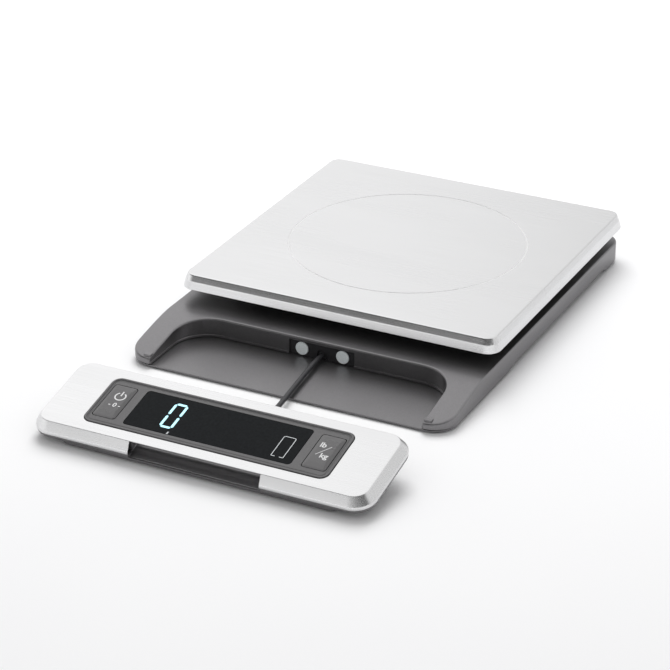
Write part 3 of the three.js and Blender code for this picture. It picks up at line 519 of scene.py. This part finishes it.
def make_platter():
    low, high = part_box("platter")
    shoulder = high.z - BEVEL_HEIGHT
    profile = filleted(
        [
            (BEVEL_INSET + SHEET + 1 * MM, high.z - SHEET, 0),
            (BEVEL_INSET + SHEET * 0.7, high.z - SHEET, 0.3 * MM),
            (SIDE_LEAN + SHEET, shoulder - SHEET * 0.4, 0.3 * MM),
            (SHEET, low.z, 0.3 * MM),
            (0, low.z, 0.35 * MM),
            (SIDE_LEAN, shoulder, 0.45 * MM),
            (BEVEL_INSET, high.z, 0.7 * MM),
            (BEVEL_INSET + 3 * MM, high.z, 0),
        ],
        5,
    )
    loops = []
    for inset, height in profile:
        corner = max(PLATTER_CORNER - inset, 3 * MM)
        box = (low.x + inset, high.x - inset, low.y + inset, high.y - inset)
        outline = rounded_rect(*box, corner, side_stops=PLATTER_SIDE_STOPS)
        loops.append(at_height(outline, height))
    centre = ((low.x + high.x) / 2, (low.y + high.y) / 2)
    half = RING_WIDTH / 2
    groove = [
        (half + RING_LIP, 0),
        (half, -RING_DEPTH),
        (-half, -RING_DEPTH),
        (-half - RING_LIP, 0),
    ]
    for across, down in groove:
        loops.append(ring_loop(outline, centre, RING_RADIUS + across, high.z + down))
    mesh = loft(loops)
    mesh.materials.append(MATERIALS["platter_steel"])
    mesh.materials.append(RING_MARK)
    count = len(outline)
    for face in mesh.polygons[(len(loops) - len(groove)) * count : (len(loops) - 1) * count]:
        face.material_index = 1
    weighted(piece("platter_tray", mesh, "platter", "platter_steel", ["platter"]))


# ---- base housing ----
DECK_LEVEL = 3.5 * MM  # the deck lies this far below the raised middle
DECK_BREAK = -32 * MM  # it is level behind this Y
DECK_BEND = -44 * MM  # the Y of its curve's control point
DECK_DROP = 8 * MM  # and falls this far towards the tips
WALL = 2.2 * MM
DECK_SKIN = 1.8 * MM
BASE_CORNER = 14 * MM
TIP_ROUND = 1.2 * MM
BAY_HALF = 85.5 * MM
BAY_WALL_Y = -33.5 * MM
BAY_CORNER = 21.5 * MM
DECK_EDGE = 1.1 * MM
DECK_CUTS = 24
LEDGE = [(0.4, 0.1), (-0.5, 0.1), (-0.5, 1.3), (-0.35, 1.5), (0.4, 1.5)]  # mm out, mm up
NOTCH_Y = mm(3, 9, 150, 156)
NOTCH_Z = mm(0, 3.6, 3.6, 0)
NOTCH_DEPTH = 5 * MM
MIDDLE_HALF = 80 * MM
MIDDLE_Y = mm(5, 162)
MIDDLE_CORNER = 10 * MM
MIDDLE_WALL = 2 * MM
OVERLAP = 0.5 * MM
SPACER_HOLE = mm(14, 42, 72.5, 90.5)
PANEL_GAP = 0.3 * MM
NUB_X = mm(85.8, 90.5)
NUB_Y = mm(-80.5, -77)
NUB_Z = mm(3, 7.4)


def arc(centre, radius, start, end, steps=CORNER_STEPS):
    """Points round a centre, angles in degrees."""
    turns = [math.radians(start + (end - start) * step / steps) for step in range(steps + 1)]
    return [
        (centre[0] + radius * math.cos(turn), centre[1] + radius * math.sin(turn))
        for turn in turns
    ]


def bay_path(grow):
    """The bay's edge from its right mouth round the back to its left mouth."""
    x, y = BAY_HALF - BAY_CORNER, BAY_WALL_Y - BAY_CORNER
    radius = BAY_CORNER + grow
    return [*arc((x, y), radius, 0, 90, 18), *arc((-x, y), radius, 90, 180, 18)]


def arms_outline(inset):
    """The base in plan with the bay left open at the front, drawn inwards by the inset."""
    low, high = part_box("base_upper_housing")
    corner = BASE_CORNER - inset * 0.5
    right, rear, front = high.x - inset, high.y - inset, low.y + inset
    mouth = BAY_HALF + inset + TIP_ROUND
    tip_y = front + TIP_ROUND
    outline = arc((mouth, tip_y), TIP_ROUND, 180, 270, 4)
    outline += arc((right - corner, front + corner), corner, -90, 0)
    outline += arc((right - corner, rear - corner), corner, 0, 90)
    outline += arc((corner - right, rear - corner), corner, 90, 180)
    outline += arc((corner - right, front + corner), corner, 180, 270)
    outline += arc((-mouth, tip_y), TIP_ROUND, 270, 360, 4)
    return outline + bay_path(inset)[::-1]


def bend_deck(mesh, above):
    """Cuts the arms across and lowers everything over a level along the deck's curve."""
    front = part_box("base_upper_housing")[0].y
    shape = bmesh.new()
    shape.from_mesh(mesh)
    span = DECK_BREAK - front
    for step in range(DECK_CUTS):
        spot = Vector((0, front + span * (step + 0.5) / DECK_CUTS, 0))
        everything = [*shape.verts, *shape.edges, *shape.faces]
        bmesh.ops.bisect_plane(shape, geom=everything, plane_co=spot, plane_no=(0, 1, 0))
    for vertex in shape.verts:
        if vertex.co.z > above and vertex.co.y < DECK_BREAK:
            vertex.co.z -= DECK_DROP * deck_fall(DECK_BREAK - vertex.co.y, span)
    shape.to_mesh(mesh)
    shape.free()
    return mesh


def deck_fall(distance, span):
    """Share of the drop reached this far forward: a quadratic curve that starts level."""
    bend = DECK_BREAK - DECK_BEND
    a = span - 2 * bend
    t = (math.sqrt(bend * bend + a * distance) - bend) / a
    return min(t, 1) ** 2


def rounded_rows(inset, top, radius, steps=5):
    """(inset, height) up round a top edge."""
    rows = []
    for step in range(steps + 1):
        turn = math.radians(90) * step / steps
        rows.append((inset + radius * (1 - math.cos(turn)), top - radius * (1 - math.sin(turn))))
    return rows


def arms_shell(top, bottom):
    """Walls and deck in one skin: down the inside, across the rim and up the outside."""
    inside = rounded_rows(WALL, top - DECK_SKIN, 0.3 * MM, 2)[::-1]
    rim = [(WALL, bottom), (0.3 * MM, bottom), (0, bottom + 0.3 * MM)]
    rows = inside + rim + rounded_rows(0, top, DECK_EDGE)
    mesh = loft([at_height(arms_outline(inset), level) for inset, level in rows])
    return bend_deck(mesh, (top + bottom) / 2)


def box_form(x0, x1, y0, y1, z0, z1):
    return prism(rounded_rect(x0, x1, y0, y1, 0.5 * MM, steps=3), z0, z1)


def bay_ledge():
    """A thin step along the foot of the bay wall, where the bottom cover's tray ends."""
    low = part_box("base_upper_housing")[0]
    front = low.y + 1 * MM
    loops = []
    for across, up in LEDGE:
        path = bay_path(across * MM)
        path = [(path[0][0], front), *path, (path[-1][0], front)]
        loops.append([Vector((x, y, low.z + up * MM)) for x, y in path])
    count = len(loops[0])
    faces = []
    for row in range(len(loops)):
        here, there = row * count, (row + 1) % len(loops) * count
        faces += [(here + i, here + i + 1, there + i + 1, there + i) for i in range(count - 1)]
    faces.append(tuple(row * count for row in range(len(loops))))
    faces.append(tuple(row * count + count - 1 for row in reversed(range(len(loops)))))
    mesh = bpy.data.meshes.new("ledge")
    mesh.from_pydata([point for loop in loops for point in loop], [], faces)
    return mesh


def side_notch(side):
    """The long shallow hand hold under one side."""
    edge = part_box("base_upper_housing")[1].x
    ends = (side * (edge - NOTCH_DEPTH), side * (edge + NOTCH_DEPTH))
    return loft([[Vector((x, y, z)) for y, z in zip(NOTCH_Y, NOTCH_Z)] for x in ends])


def outward(mesh):
    """The mesh with its faces turned outwards, as a boolean needs."""
    shape = bmesh.new()
    shape.from_mesh(mesh)
    bmesh.ops.recalc_face_normals(shape, faces=shape.faces)
    shape.to_mesh(mesh)
    shape.free()
    return mesh


def raised_middle(inset, bottom, top):
    """The block that stands above the deck under the platter, or its hollow."""
    front, rear = MIDDLE_Y
    half = MIDDLE_HALF - inset
    corner = MIDDLE_CORNER - inset
    return prism(rounded_rect(-half, half, front + inset, rear - inset, corner), bottom, top)


def make_housing():
    low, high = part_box("base_upper_housing")
    deck = high.z - DECK_LEVEL
    panel_low, panel_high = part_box("magnet_panel")
    across = (panel_low.x - PANEL_GAP, panel_high.x + PANEL_GAP)
    through = (BAY_WALL_Y - 1 * MM, BAY_WALL_Y + WALL + 1 * MM)
    added = [raised_middle(0, deck - OVERLAP, high.z), bay_ledge()]
    cuts = [
        raised_middle(MIDDLE_WALL, deck - DECK_SKIN - OVERLAP, high.z - DECK_SKIN),
        side_notch(-1),
        side_notch(1),
        box_form(*SPACER_HOLE, deck - 3 * MM, high.z + 1 * MM),
        box_form(*across, *through, low.z - 1 * MM, panel_high.z + PANEL_GAP),
    ]
    mesh = combined(outward(arms_shell(deck, low.z)), [outward(m) for m in added], "UNION")
    mesh = combined(mesh, [outward(m) for m in cuts], "DIFFERENCE")
    weighted(piece("base_shell", mesh, "base", "charcoal_plastic", ["base_upper_housing"]))
    for name, side in (("nub_left", -1), ("nub_right", 1)):
        ends = sorted(side * x for x in NUB_X)
        nub = piece(name, box_form(*ends, *NUB_Y, *NUB_Z), "base", "charcoal_plastic")
        softened(nub, 0.25 * MM)
        weighted(nub)


# ---- display, in its own axes: x across, then up the slope from the front edge, then out ----
OUT = -Vector(JOINTS["power_button_press"]["axis"]).normalized()
ACROSS = Vector((1, 0, 0))
UP_SLOPE = OUT.cross(ACROSS).normalized()


def extent(node):
    """(lowest, highest) of a CAD node measured along the display's axes."""
    spots = [vertex.co for vertex in NODES[node].data.vertices]
    axes = (ACROSS, UP_SLOPE, OUT)
    low = Vector([min(spot.dot(axis) for spot in spots) for axis in axes])
    high = Vector([max(spot.dot(axis) for spot in spots) for axis in axes])
    return low, high


SHELL_DEPTH = 8 * MM
COVER_LOW, COVER_HIGH = extent("display_cover")
ORIGIN = Vector((0, COVER_LOW.y, COVER_HIGH.z - SHELL_DEPTH))
COVER_FOOT = COVER_LOW.z - ORIGIN.z
TO_ROW = Matrix((ACROSS, UP_SLOPE, OUT)).transposed().to_4x4() @ Matrix.Translation(ORIGIN)


def local_extent(node):
    """The node's extent measured from the display's front edge."""
    low, high = extent(node)
    return low - ORIGIN, high - ORIGIN


COVER_CORNER = 12 * MM
COVER_INSET = 3.8 * MM
CREASE_RADIUS = 0.3 * MM
PULL_HALF = 39.5 * MM
WINDOW_CORNER = 5 * MM
FLANGE_REACH = 2.5 * MM
WINDOW_GAP = 0.3 * MM
WINDOW_EDGE = 0.15 * MM
SLOPE_RISE = 1.2 * MM
FLAT_REACH = 1.5 * MM
FRONT_STOPS = 6
SIDE_STOPS = 6


def cover_profile():
    """(inset, height) round the sheet: foot, flat slope and crease outside, then back inside."""
    slope_foot = COVER_FOOT + SLOPE_RISE
    outside = filleted(
        [
            (0, COVER_FOOT, 0),
            (0, slope_foot, 0.9 * MM),
            (COVER_INSET, SHELL_DEPTH, CREASE_RADIUS),
            (COVER_INSET + FLAT_REACH, SHELL_DEPTH, 0),
        ],
        4,
    )
    inside = filleted(
        [
            (COVER_INSET + FLAT_REACH, SHELL_DEPTH - SHEET, 0),
            (COVER_INSET + SHEET * 0.5, SHELL_DEPTH - SHEET, 0.3 * MM),
            (SHEET, slope_foot, 0.6 * MM),
            (SHEET, COVER_FOOT, 0),
        ],
        4,
    )
    return outside, inside


def window_outline(grow, front):
    """The opening in the cover that the bezel stands in."""
    low, high = local_extent("display_bezel")
    inset = FLANGE_REACH - grow
    box = (low.x + inset, high.x - inset, low.y + inset, high.y - inset)
    return rounded_rect(*box, WINDOW_CORNER + grow, front, SIDE_STOPS)


def make_cover():
    width = (COVER_HIGH.x - COVER_LOW.x) / 2
    length = COVER_HIGH.y - COVER_LOW.y
    front = [x * PULL_HALF / FRONT_STOPS for x in range(-FRONT_STOPS, FRONT_STOPS + 1)]
    outside, inside = cover_profile()

    def rect_loop(inset, level):
        corner = max(COVER_CORNER - inset, 2 * MM)
        box = (-width + inset, width - inset, inset, length - inset)
        return at_height(rounded_rect(*box, corner, front, SIDE_STOPS), level)

    rim = [
        (WINDOW_EDGE, SHELL_DEPTH),
        (0, SHELL_DEPTH - WINDOW_EDGE),
        (0, SHELL_DEPTH - SHEET),
    ]
    loops = [rect_loop(inset, level) for inset, level in outside]
    crease_row = len(loops) - 4
    loops += [at_height(window_outline(WINDOW_GAP + grow, front), level) for grow, level in rim]
    under_row = len(loops) + 1
    loops += [rect_loop(inset, level) for inset, level in inside]

    def in_notch(row, column):
        return column < len(front) - 1 and (row < crease_row or row > under_row)

    mesh = loft(loops, wrapped=True, skip=in_notch)
    close_notch(mesh)
    nodes = ["display_cover"]
    weighted(piece("display_shell", mesh, "display", "display_steel", nodes, place=TO_ROW))


def close_notch(mesh):
    """Fills the cut edge of the sheet round the finger pull."""
    shape = bmesh.new()
    shape.from_mesh(mesh)
    open_edges = [edge for edge in shape.edges if edge.is_boundary]
    bmesh.ops.holes_fill(shape, edges=open_edges, sides=0)
    shape.to_mesh(mesh)
    shape.free()


RIM_WIDTH = 1.1 * MM
RIM_RISE = 0.5 * MM
FIELD_RISE = 0.1 * MM
GROOVE_SINK = 0.15 * MM
LENS_GAP = 0.25 * MM
KEY_GAP = 0.35 * MM
LENS_CORNER = 2 * MM
KEY_CORNER = 1.5 * MM


def node_rect(node, grow, corner):
    """A hole that clears a node on all sides."""
    low, high = local_extent(node)
    return rounded_rect(low.x - grow, high.x + grow, low.y - grow, high.y + grow, corner)


def make_bezel():
    """A raised rim, a narrow groove, and a level field round the lens and the keys."""
    low, high = local_extent("display_bezel")
    rim_top = SHELL_DEPTH + RIM_RISE
    groove = SHELL_DEPTH - GROOVE_SINK
    field = SHELL_DEPTH + FIELD_RISE
    inner = FLANGE_REACH + RIM_WIDTH
    profile = filleted(
        [
            (FLANGE_REACH, low.z, 0),
            (FLANGE_REACH, rim_top, 0.35 * MM),
            (inner, rim_top, 0.35 * MM),
            (inner + 0.3 * MM, groove, 0.2 * MM),
            (inner + 1.0 * MM, groove, 0.2 * MM),
            (inner + 1.3 * MM, field, 0.2 * MM),
            (inner + 2.2 * MM, field, 0),
        ]
    )
    loops = []
    for inset, level in profile:
        corner = max(WINDOW_CORNER + FLANGE_REACH - inset, 1 * MM)
        box = (low.x + inset, high.x - inset, low.y + inset, high.y - inset)
        loops.append(at_height(rounded_rect(*box, corner), level))
    holes = [node_rect("display_lens", LENS_GAP, 2.2 * MM)]
    holes += [node_rect(name, KEY_GAP, 1.8 * MM) for name in ("power_button", "unit_button")]
    cutters = [prism(outline, 0, 2 * SHELL_DEPTH) for outline in holes]
    cut = combined(loft(loops), cutters, "DIFFERENCE")
    bezel = piece("bezel_frame", cut, "display", "bezel_plastic", ["display_bezel"], place=TO_ROW)
    softened(bezel, 0.2 * MM)
    weighted(bezel)


def make_lens():
    low, high = local_extent("display_lens")
    edge = 0.25 * MM
    rows = [(0, low.z), (0, high.z - edge), (edge * 0.3, high.z - edge * 0.3), (edge, high.z)]
    loops = []
    for inset, level in rows:
        box = (low.x + inset, high.x - inset, low.y + inset, high.y - inset)
        loops.append(at_height(rounded_rect(*box, LENS_CORNER - inset), level))
    nodes = ["display_lens"]
    weighted(piece("lens_window", loft(loops), "display", "lens_black", nodes, place=TO_ROW))


BUTTON_ROWS = [  # mm in from the sides, mm in from the ends, mm above the key's top
    (0, 0, -0.9),
    (0.15, 0.15, -0.65),
    (0.75, 0.8, -0.4),
    (0.95, 1.0, -0.35),
    (1.2, 1.5, -0.3),
    (1.9, 4.2, -0.04),
    (2.2, 4.8, 0),
    (3.2, 7.0, 0.0),
]


def make_button(name, node):
    """A pillowed key: narrow side slopes, long end slopes and a level middle for its mark."""
    low, high = local_extent(node)
    rows = [(0, 0, low.z)]
    rows += [(a * MM, b * MM, high.z + c * MM) for a, b, c in BUTTON_ROWS]
    loops = []
    for across, along, level in rows:
        box = (low.x + across, high.x - across, low.y + along, high.y - along)
        corner = max(KEY_CORNER - across * 0.5, 0.3 * MM)
        loops.append(at_height(rounded_rect(*box, corner, steps=6), level))
    weighted(piece(name, loft(loops), node, "button_plastic", [node], place=TO_ROW))


# ---- marks on the display ----
MARK_THICKNESS = 0.06 * MM
LENS_MARK_GAP = 0.01 * MM
KEY_MARK_GAP = 0.005 * MM
LETTER_WEIGHT = 0.02


def mark(name, outlines, level, body, material):
    """Flat marks made of closed outlines, standing a hair above the surface at this level."""
    shape = bmesh.new()
    for outline in outlines:
        shape.from_mesh(prism(outline, level, level + MARK_THICKNESS))
    mesh = bpy.data.meshes.new(name)
    shape.to_mesh(mesh)
    shape.free()
    return piece(name, mesh, body, material=material, place=TO_ROW)


def bar(start, end, width):
    """A straight stroke between two points."""
    a, b = Vector(start), Vector(end)
    side = (b - a).orthogonal().normalized() * width / 2
    return [tuple(p) for p in (a - side, b - side, b + side, a + side)][::-1]


def segment(start, end, width):
    """A stroke with pointed ends, as in a seven-segment digit."""
    a, b = Vector(start), Vector(end)
    along = (b - a).normalized() * width / 2
    side = along.orthogonal()
    right = (a, a + along - side, b - along - side)
    left = (b, b - along + side, a + along + side)
    return [tuple(p) for p in right + left]


def arc_stroke(centre, radius, width, start, end, steps=28):
    """A stroke bent round a centre, angles in degrees."""
    outline = []
    for reach, order in ((radius + width / 2, 1), (radius - width / 2, -1)):
        for step in range(steps + 1)[::order]:
            angle = math.radians(start + (end - start) * step / steps)
            x, y = reach * math.cos(angle), reach * math.sin(angle)
            outline.append((centre[0] + x, centre[1] + y))
    return outline


def lettering(name, text, size, centre, level, body, material):
    """Generic letters or numbers in Blender's own font, as thick as the other marks."""
    curve = bpy.data.curves.new(name, "FONT")
    curve.body = text
    curve.size = size
    curve.extrude = MARK_THICKNESS / 2
    curve.offset = size * LETTER_WEIGHT
    curve.align_x = "CENTER"
    curve.align_y = "CENTER"
    holder = link(name, curve)
    depsgraph = bpy.context.evaluated_depsgraph_get()
    mesh = bpy.data.meshes.new_from_object(holder.evaluated_get(depsgraph))
    bpy.data.objects.remove(holder)
    mesh.materials.clear()
    mesh.transform(Matrix.Translation((*centre, level + MARK_THICKNESS / 2)))
    return piece(name, mesh, body, material=material, place=TO_ROW)


DIGIT_LEFT, DIGIT_RIGHT = -30.9 * MM, -22.6 * MM
DIGIT_LOW, DIGIT_HIGH = 19.7 * MM, 40.3 * MM
SEGMENT_WIDTH = 1.5 * MM
SEGMENT_GAP = 0.25 * MM
GRAM_SIZE = 2.6 * MM
GRAM_CENTRE = (-23.2 * MM, 16.9 * MM)


def make_digit():
    """A zero: six of the seven segments."""
    level = local_extent("display_lens")[1].z + LENS_MARK_GAP
    left, right = DIGIT_LEFT + SEGMENT_WIDTH / 2, DIGIT_RIGHT - SEGMENT_WIDTH / 2
    low, high = DIGIT_LOW + SEGMENT_WIDTH / 2, DIGIT_HIGH - SEGMENT_WIDTH / 2
    middle = (low + high) / 2
    gap = SEGMENT_GAP
    strokes = []
    for y in (low, high):
        strokes.append(segment((left + gap, y), (right - gap, y), SEGMENT_WIDTH))
    for x in (left, right):
        strokes.append(segment((x, low + gap), (x, middle - 2 * gap), SEGMENT_WIDTH))
        strokes.append(segment((x, middle + 2 * gap), (x, high - gap), SEGMENT_WIDTH))
    mark("digit_zero", strokes, level, "display", SEGMENT_LIGHT)
    lettering("unit_gram", "g", GRAM_SIZE, GRAM_CENTRE, level, "display", GAUGE_PRINT)


GAUGE_LEFT, GAUGE_RIGHT = 37.6 * MM, 44.7 * MM
GAUGE_LOW, GAUGE_HIGH = 18.9 * MM, 35.2 * MM
GAUGE_LINE = 0.4 * MM
GAUGE_HOOK = 2.3 * MM
GAUGE_NICK = 0.7 * MM


def make_gauge():
    """The outline of a fill gauge, open at its foot."""
    level = local_extent("display_lens")[1].z + LENS_MARK_GAP
    corners = [
        (GAUGE_LEFT + GAUGE_HOOK, GAUGE_LOW),
        (GAUGE_LEFT, GAUGE_LOW),
        (GAUGE_LEFT, GAUGE_HIGH - GAUGE_NICK),
        (GAUGE_LEFT + GAUGE_NICK, GAUGE_HIGH),
        (GAUGE_RIGHT - GAUGE_NICK, GAUGE_HIGH),
        (GAUGE_RIGHT, GAUGE_HIGH - GAUGE_NICK),
        (GAUGE_RIGHT, GAUGE_LOW),
        (GAUGE_RIGHT - GAUGE_HOOK, GAUGE_LOW),
    ]
    strokes = [bar(a, b, GAUGE_LINE) for a, b in zip(corners, corners[1:])]
    mark("gauge_outline", strokes, level, "display", GAUGE_PRINT)


POWER_CENTRE = (-62.2 * MM, 34 * MM)
POWER_RADIUS = 3.0 * MM
POWER_ARC = (122, 418)
POWER_STEM = mm(0.5, 4.3)
POWER_STROKE = 0.75 * MM
ZERO_SIZE = 4.4 * MM
ZERO_OFFSET = mm(0.5, -7.4)
UNIT_CENTRE = (62.9 * MM, 30.6 * MM)
UNIT_SIZE = 5.2 * MM
UNIT_OFFSET = mm(2, -4)
SLASH_REACH = mm(3, 4)
SLASH_STROKE = 0.35 * MM


def make_legends():
    """Printed marks on the two keys."""
    level = local_extent("power_button")[1].z + KEY_MARK_GAP
    cx, cy = POWER_CENTRE
    ring = arc_stroke(POWER_CENTRE, POWER_RADIUS, POWER_STROKE, *POWER_ARC)
    stem = bar((cx, cy + POWER_STEM[0]), (cx, cy + POWER_STEM[1]), POWER_STROKE)
    mark("power_symbol", [ring, stem], level, "power_button", WHITE_PRINT)
    spot = (cx + ZERO_OFFSET[0], cy + ZERO_OFFSET[1])
    lettering("zero_mark", "- 0 -", ZERO_SIZE, spot, level, "power_button", WHITE_PRINT)
    cx, cy = UNIT_CENTRE
    dx, dy = SLASH_REACH
    slash = bar((cx - dx, cy - dy), (cx + dx, cy + dy), SLASH_STROKE)
    mark("unit_slash", [slash], level, "unit_button", WHITE_PRINT)
    dx, dy = UNIT_OFFSET
    for text, side in (("lb", -1), ("kg", 1)):
        spot = (cx + side * dx, cy + side * dy)
        name = "unit_" + text
        lettering(name, text, UNIT_SIZE, spot, level, "unit_button", WHITE_PRINT)


# ---- the CAD nodes that stay ----
EDGE_WIDTHS = {
    "display_housing": 0.4 * MM,
    "base_bottom_cover": 0.4 * MM,
    "platform_carrier": 0.4 * MM,
}
USUAL_EDGE = 0.15 * MM
MERGE_DISTANCE = 0.002 * MM
FLAT_LIMIT = math.radians(0.6)
SLOT_OF = {part["node"]: part["material_slot"] for part in frame["record"]["subparts"]}


def dress(node):
    """Material and soft edges for a CAD node, whose vertices stay as they are."""
    obj = NODES[node]
    mesh = obj.data
    mesh.materials.clear()
    mesh.materials.append(MATERIALS[SLOT_OF[node]])
    for face in mesh.polygons:
        face.use_smooth = True
    if "custom_normal" in mesh.attributes:
        mesh.attributes.remove(mesh.attributes["custom_normal"])
    merge = obj.modifiers.new("merge", "WELD")
    merge.merge_threshold = MERGE_DISTANCE
    flat = obj.modifiers.new("flat", "DECIMATE")
    flat.decimate_type = "DISSOLVE"
    flat.angle_limit = FLAT_LIMIT
    bevel = softened(obj, EDGE_WIDTHS.get(node, USUAL_EDGE))
    bevel.use_clamp_overlap = False
    weighted(obj)


# ---- floor and light ----
FLOOR_HALF = 6


def make_floor():
    """A plain pale sheet with hardly any change of tone."""
    mesh = bpy.data.meshes.new("floor")
    corners = [(-1, -1), (1, -1), (1, 1), (-1, 1)]
    spots = [(x * FLOOR_HALF, y * FLOOR_HALF, 0) for x, y in corners]
    mesh.from_pydata(spots, [], [(0, 1, 2, 3)])
    material, tree, shader = new_shader("pale_floor", Roughness=0.7, Specular_IOR_Level=0.2)
    tone = noise(tree, stretched(tree), 3.0)
    tinted(tree, shader, spread(tree, tone, 0, 1), (0.93, 0.93, 0.94), (0.95, 0.95, 0.955))
    mesh.materials.append(material)
    floor = link("floor", mesh)


def soft_light(name, location, size, watts):
    """A soft box that lights the object but isn't mirrored in it."""
    data = bpy.data.lights.new(name, "AREA")
    data.shape = "RECTANGLE"
    data.size, data.size_y = size
    data.energy = watts
    light = bpy.data.objects.new(name, data)
    bpy.context.scene.collection.objects.link(light)
    light.location = location
    light.rotation_euler = (-light.location).to_track_quat("-Z", "Y").to_euler()
    light.visible_glossy = False


SKY_FILL = 0.56
SKY_TOP = 1.36
SKY_BACK = 1.28
SKY_LOW = 1.12
SKY_HORIZON = 1.4
SKY_FRONT = 0.0
SKY_SIDE = 0.75
# Where one brightness gives way to the next, as parts of a direction of length 1.
FRONT_FADE = (-0.2, 0.0)
HORIZON_FADE = (0.17, 0.27)
DARK_FADE = (0.7, 0.8)
LOW_FADE = (0.36, 0.5)
TOP_FADE = (0.55, 0.65)
SIDE_FADE = (-0.4, -0.26)
LIGHT_SPOT = (-0.4, 0.9, 1.35)
LIGHT_SIZE = (1.1, 1.1)
LIGHT_WATTS = 22


def make_sky():
    """Even fill light, and for reflections a white studio with a dark band in front."""
    world = bpy.data.worlds.new("studio")
    world.use_nodes = True
    tree = world.node_tree
    background = tree.nodes["Background"]
    parts = add(tree, "SeparateXYZ", Vector=add(tree, "TexCoord").outputs["Generated"])
    across, along, up = (parts.outputs[axis] for axis in "XYZ")
    smooth = {"interpolation_type": "SMOOTHSTEP"}

    def ramp(value, fade, low, high):
        names = {"From Min": fade[0], "From Max": fade[1], "To Min": low, "To Max": high}
        return add(tree, "MapRange", smooth, Value=value, **names).outputs["Result"]

    def times(first, second):
        return add(tree, "Math", {"operation": "MULTIPLY"}, n0=first, n1=second).outputs[0]

    def blend(factor, first, second):
        settings = {"data_type": "FLOAT"}
        return add(tree, "Mix", settings, Factor=factor, n2=first, n3=second).outputs[0]

    front = ramp(along, FRONT_FADE, 1, 0)
    band = times(ramp(up, HORIZON_FADE, 0, 1), ramp(up, DARK_FADE, 1, 0))
    back = blend(ramp(up, TOP_FADE, 0, 1), ramp(up, LOW_FADE, SKY_LOW, SKY_BACK), SKY_TOP)
    back = times(back, ramp(across, SIDE_FADE, 1, SKY_SIDE))
    low = blend(times(front, ramp(up, HORIZON_FADE, 1, 0)), back, SKY_HORIZON)
    mirrored = blend(times(front, band), low, SKY_FRONT)
    rays = add(tree, "LightPath").outputs
    fill = blend(rays["Is Camera Ray"], SKY_FILL, 1.0)
    strength = blend(rays["Is Glossy Ray"], fill, mirrored)
    tree.links.new(strength, background.inputs["Strength"])
    background.inputs["Color"].default_value = (1, 1, 1, 1)
    bpy.context.scene.world = world


def make_studio():
    make_floor()
    make_sky()
    soft_light("overhead", LIGHT_SPOT, LIGHT_SIZE, LIGHT_WATTS)
    bpy.context.scene.view_settings.view_transform = "Standard"


make_camera()
make_cable()
make_platter()
make_housing()
make_cover()
make_bezel()
make_lens()
make_button("power_key", "power_button")
make_button("unit_key", "unit_button")
make_digit()
make_gauge()
make_legends()
for node in sorted(NODES):
    if not NODES[node].hide_render:
        dress(node)
make_studio()
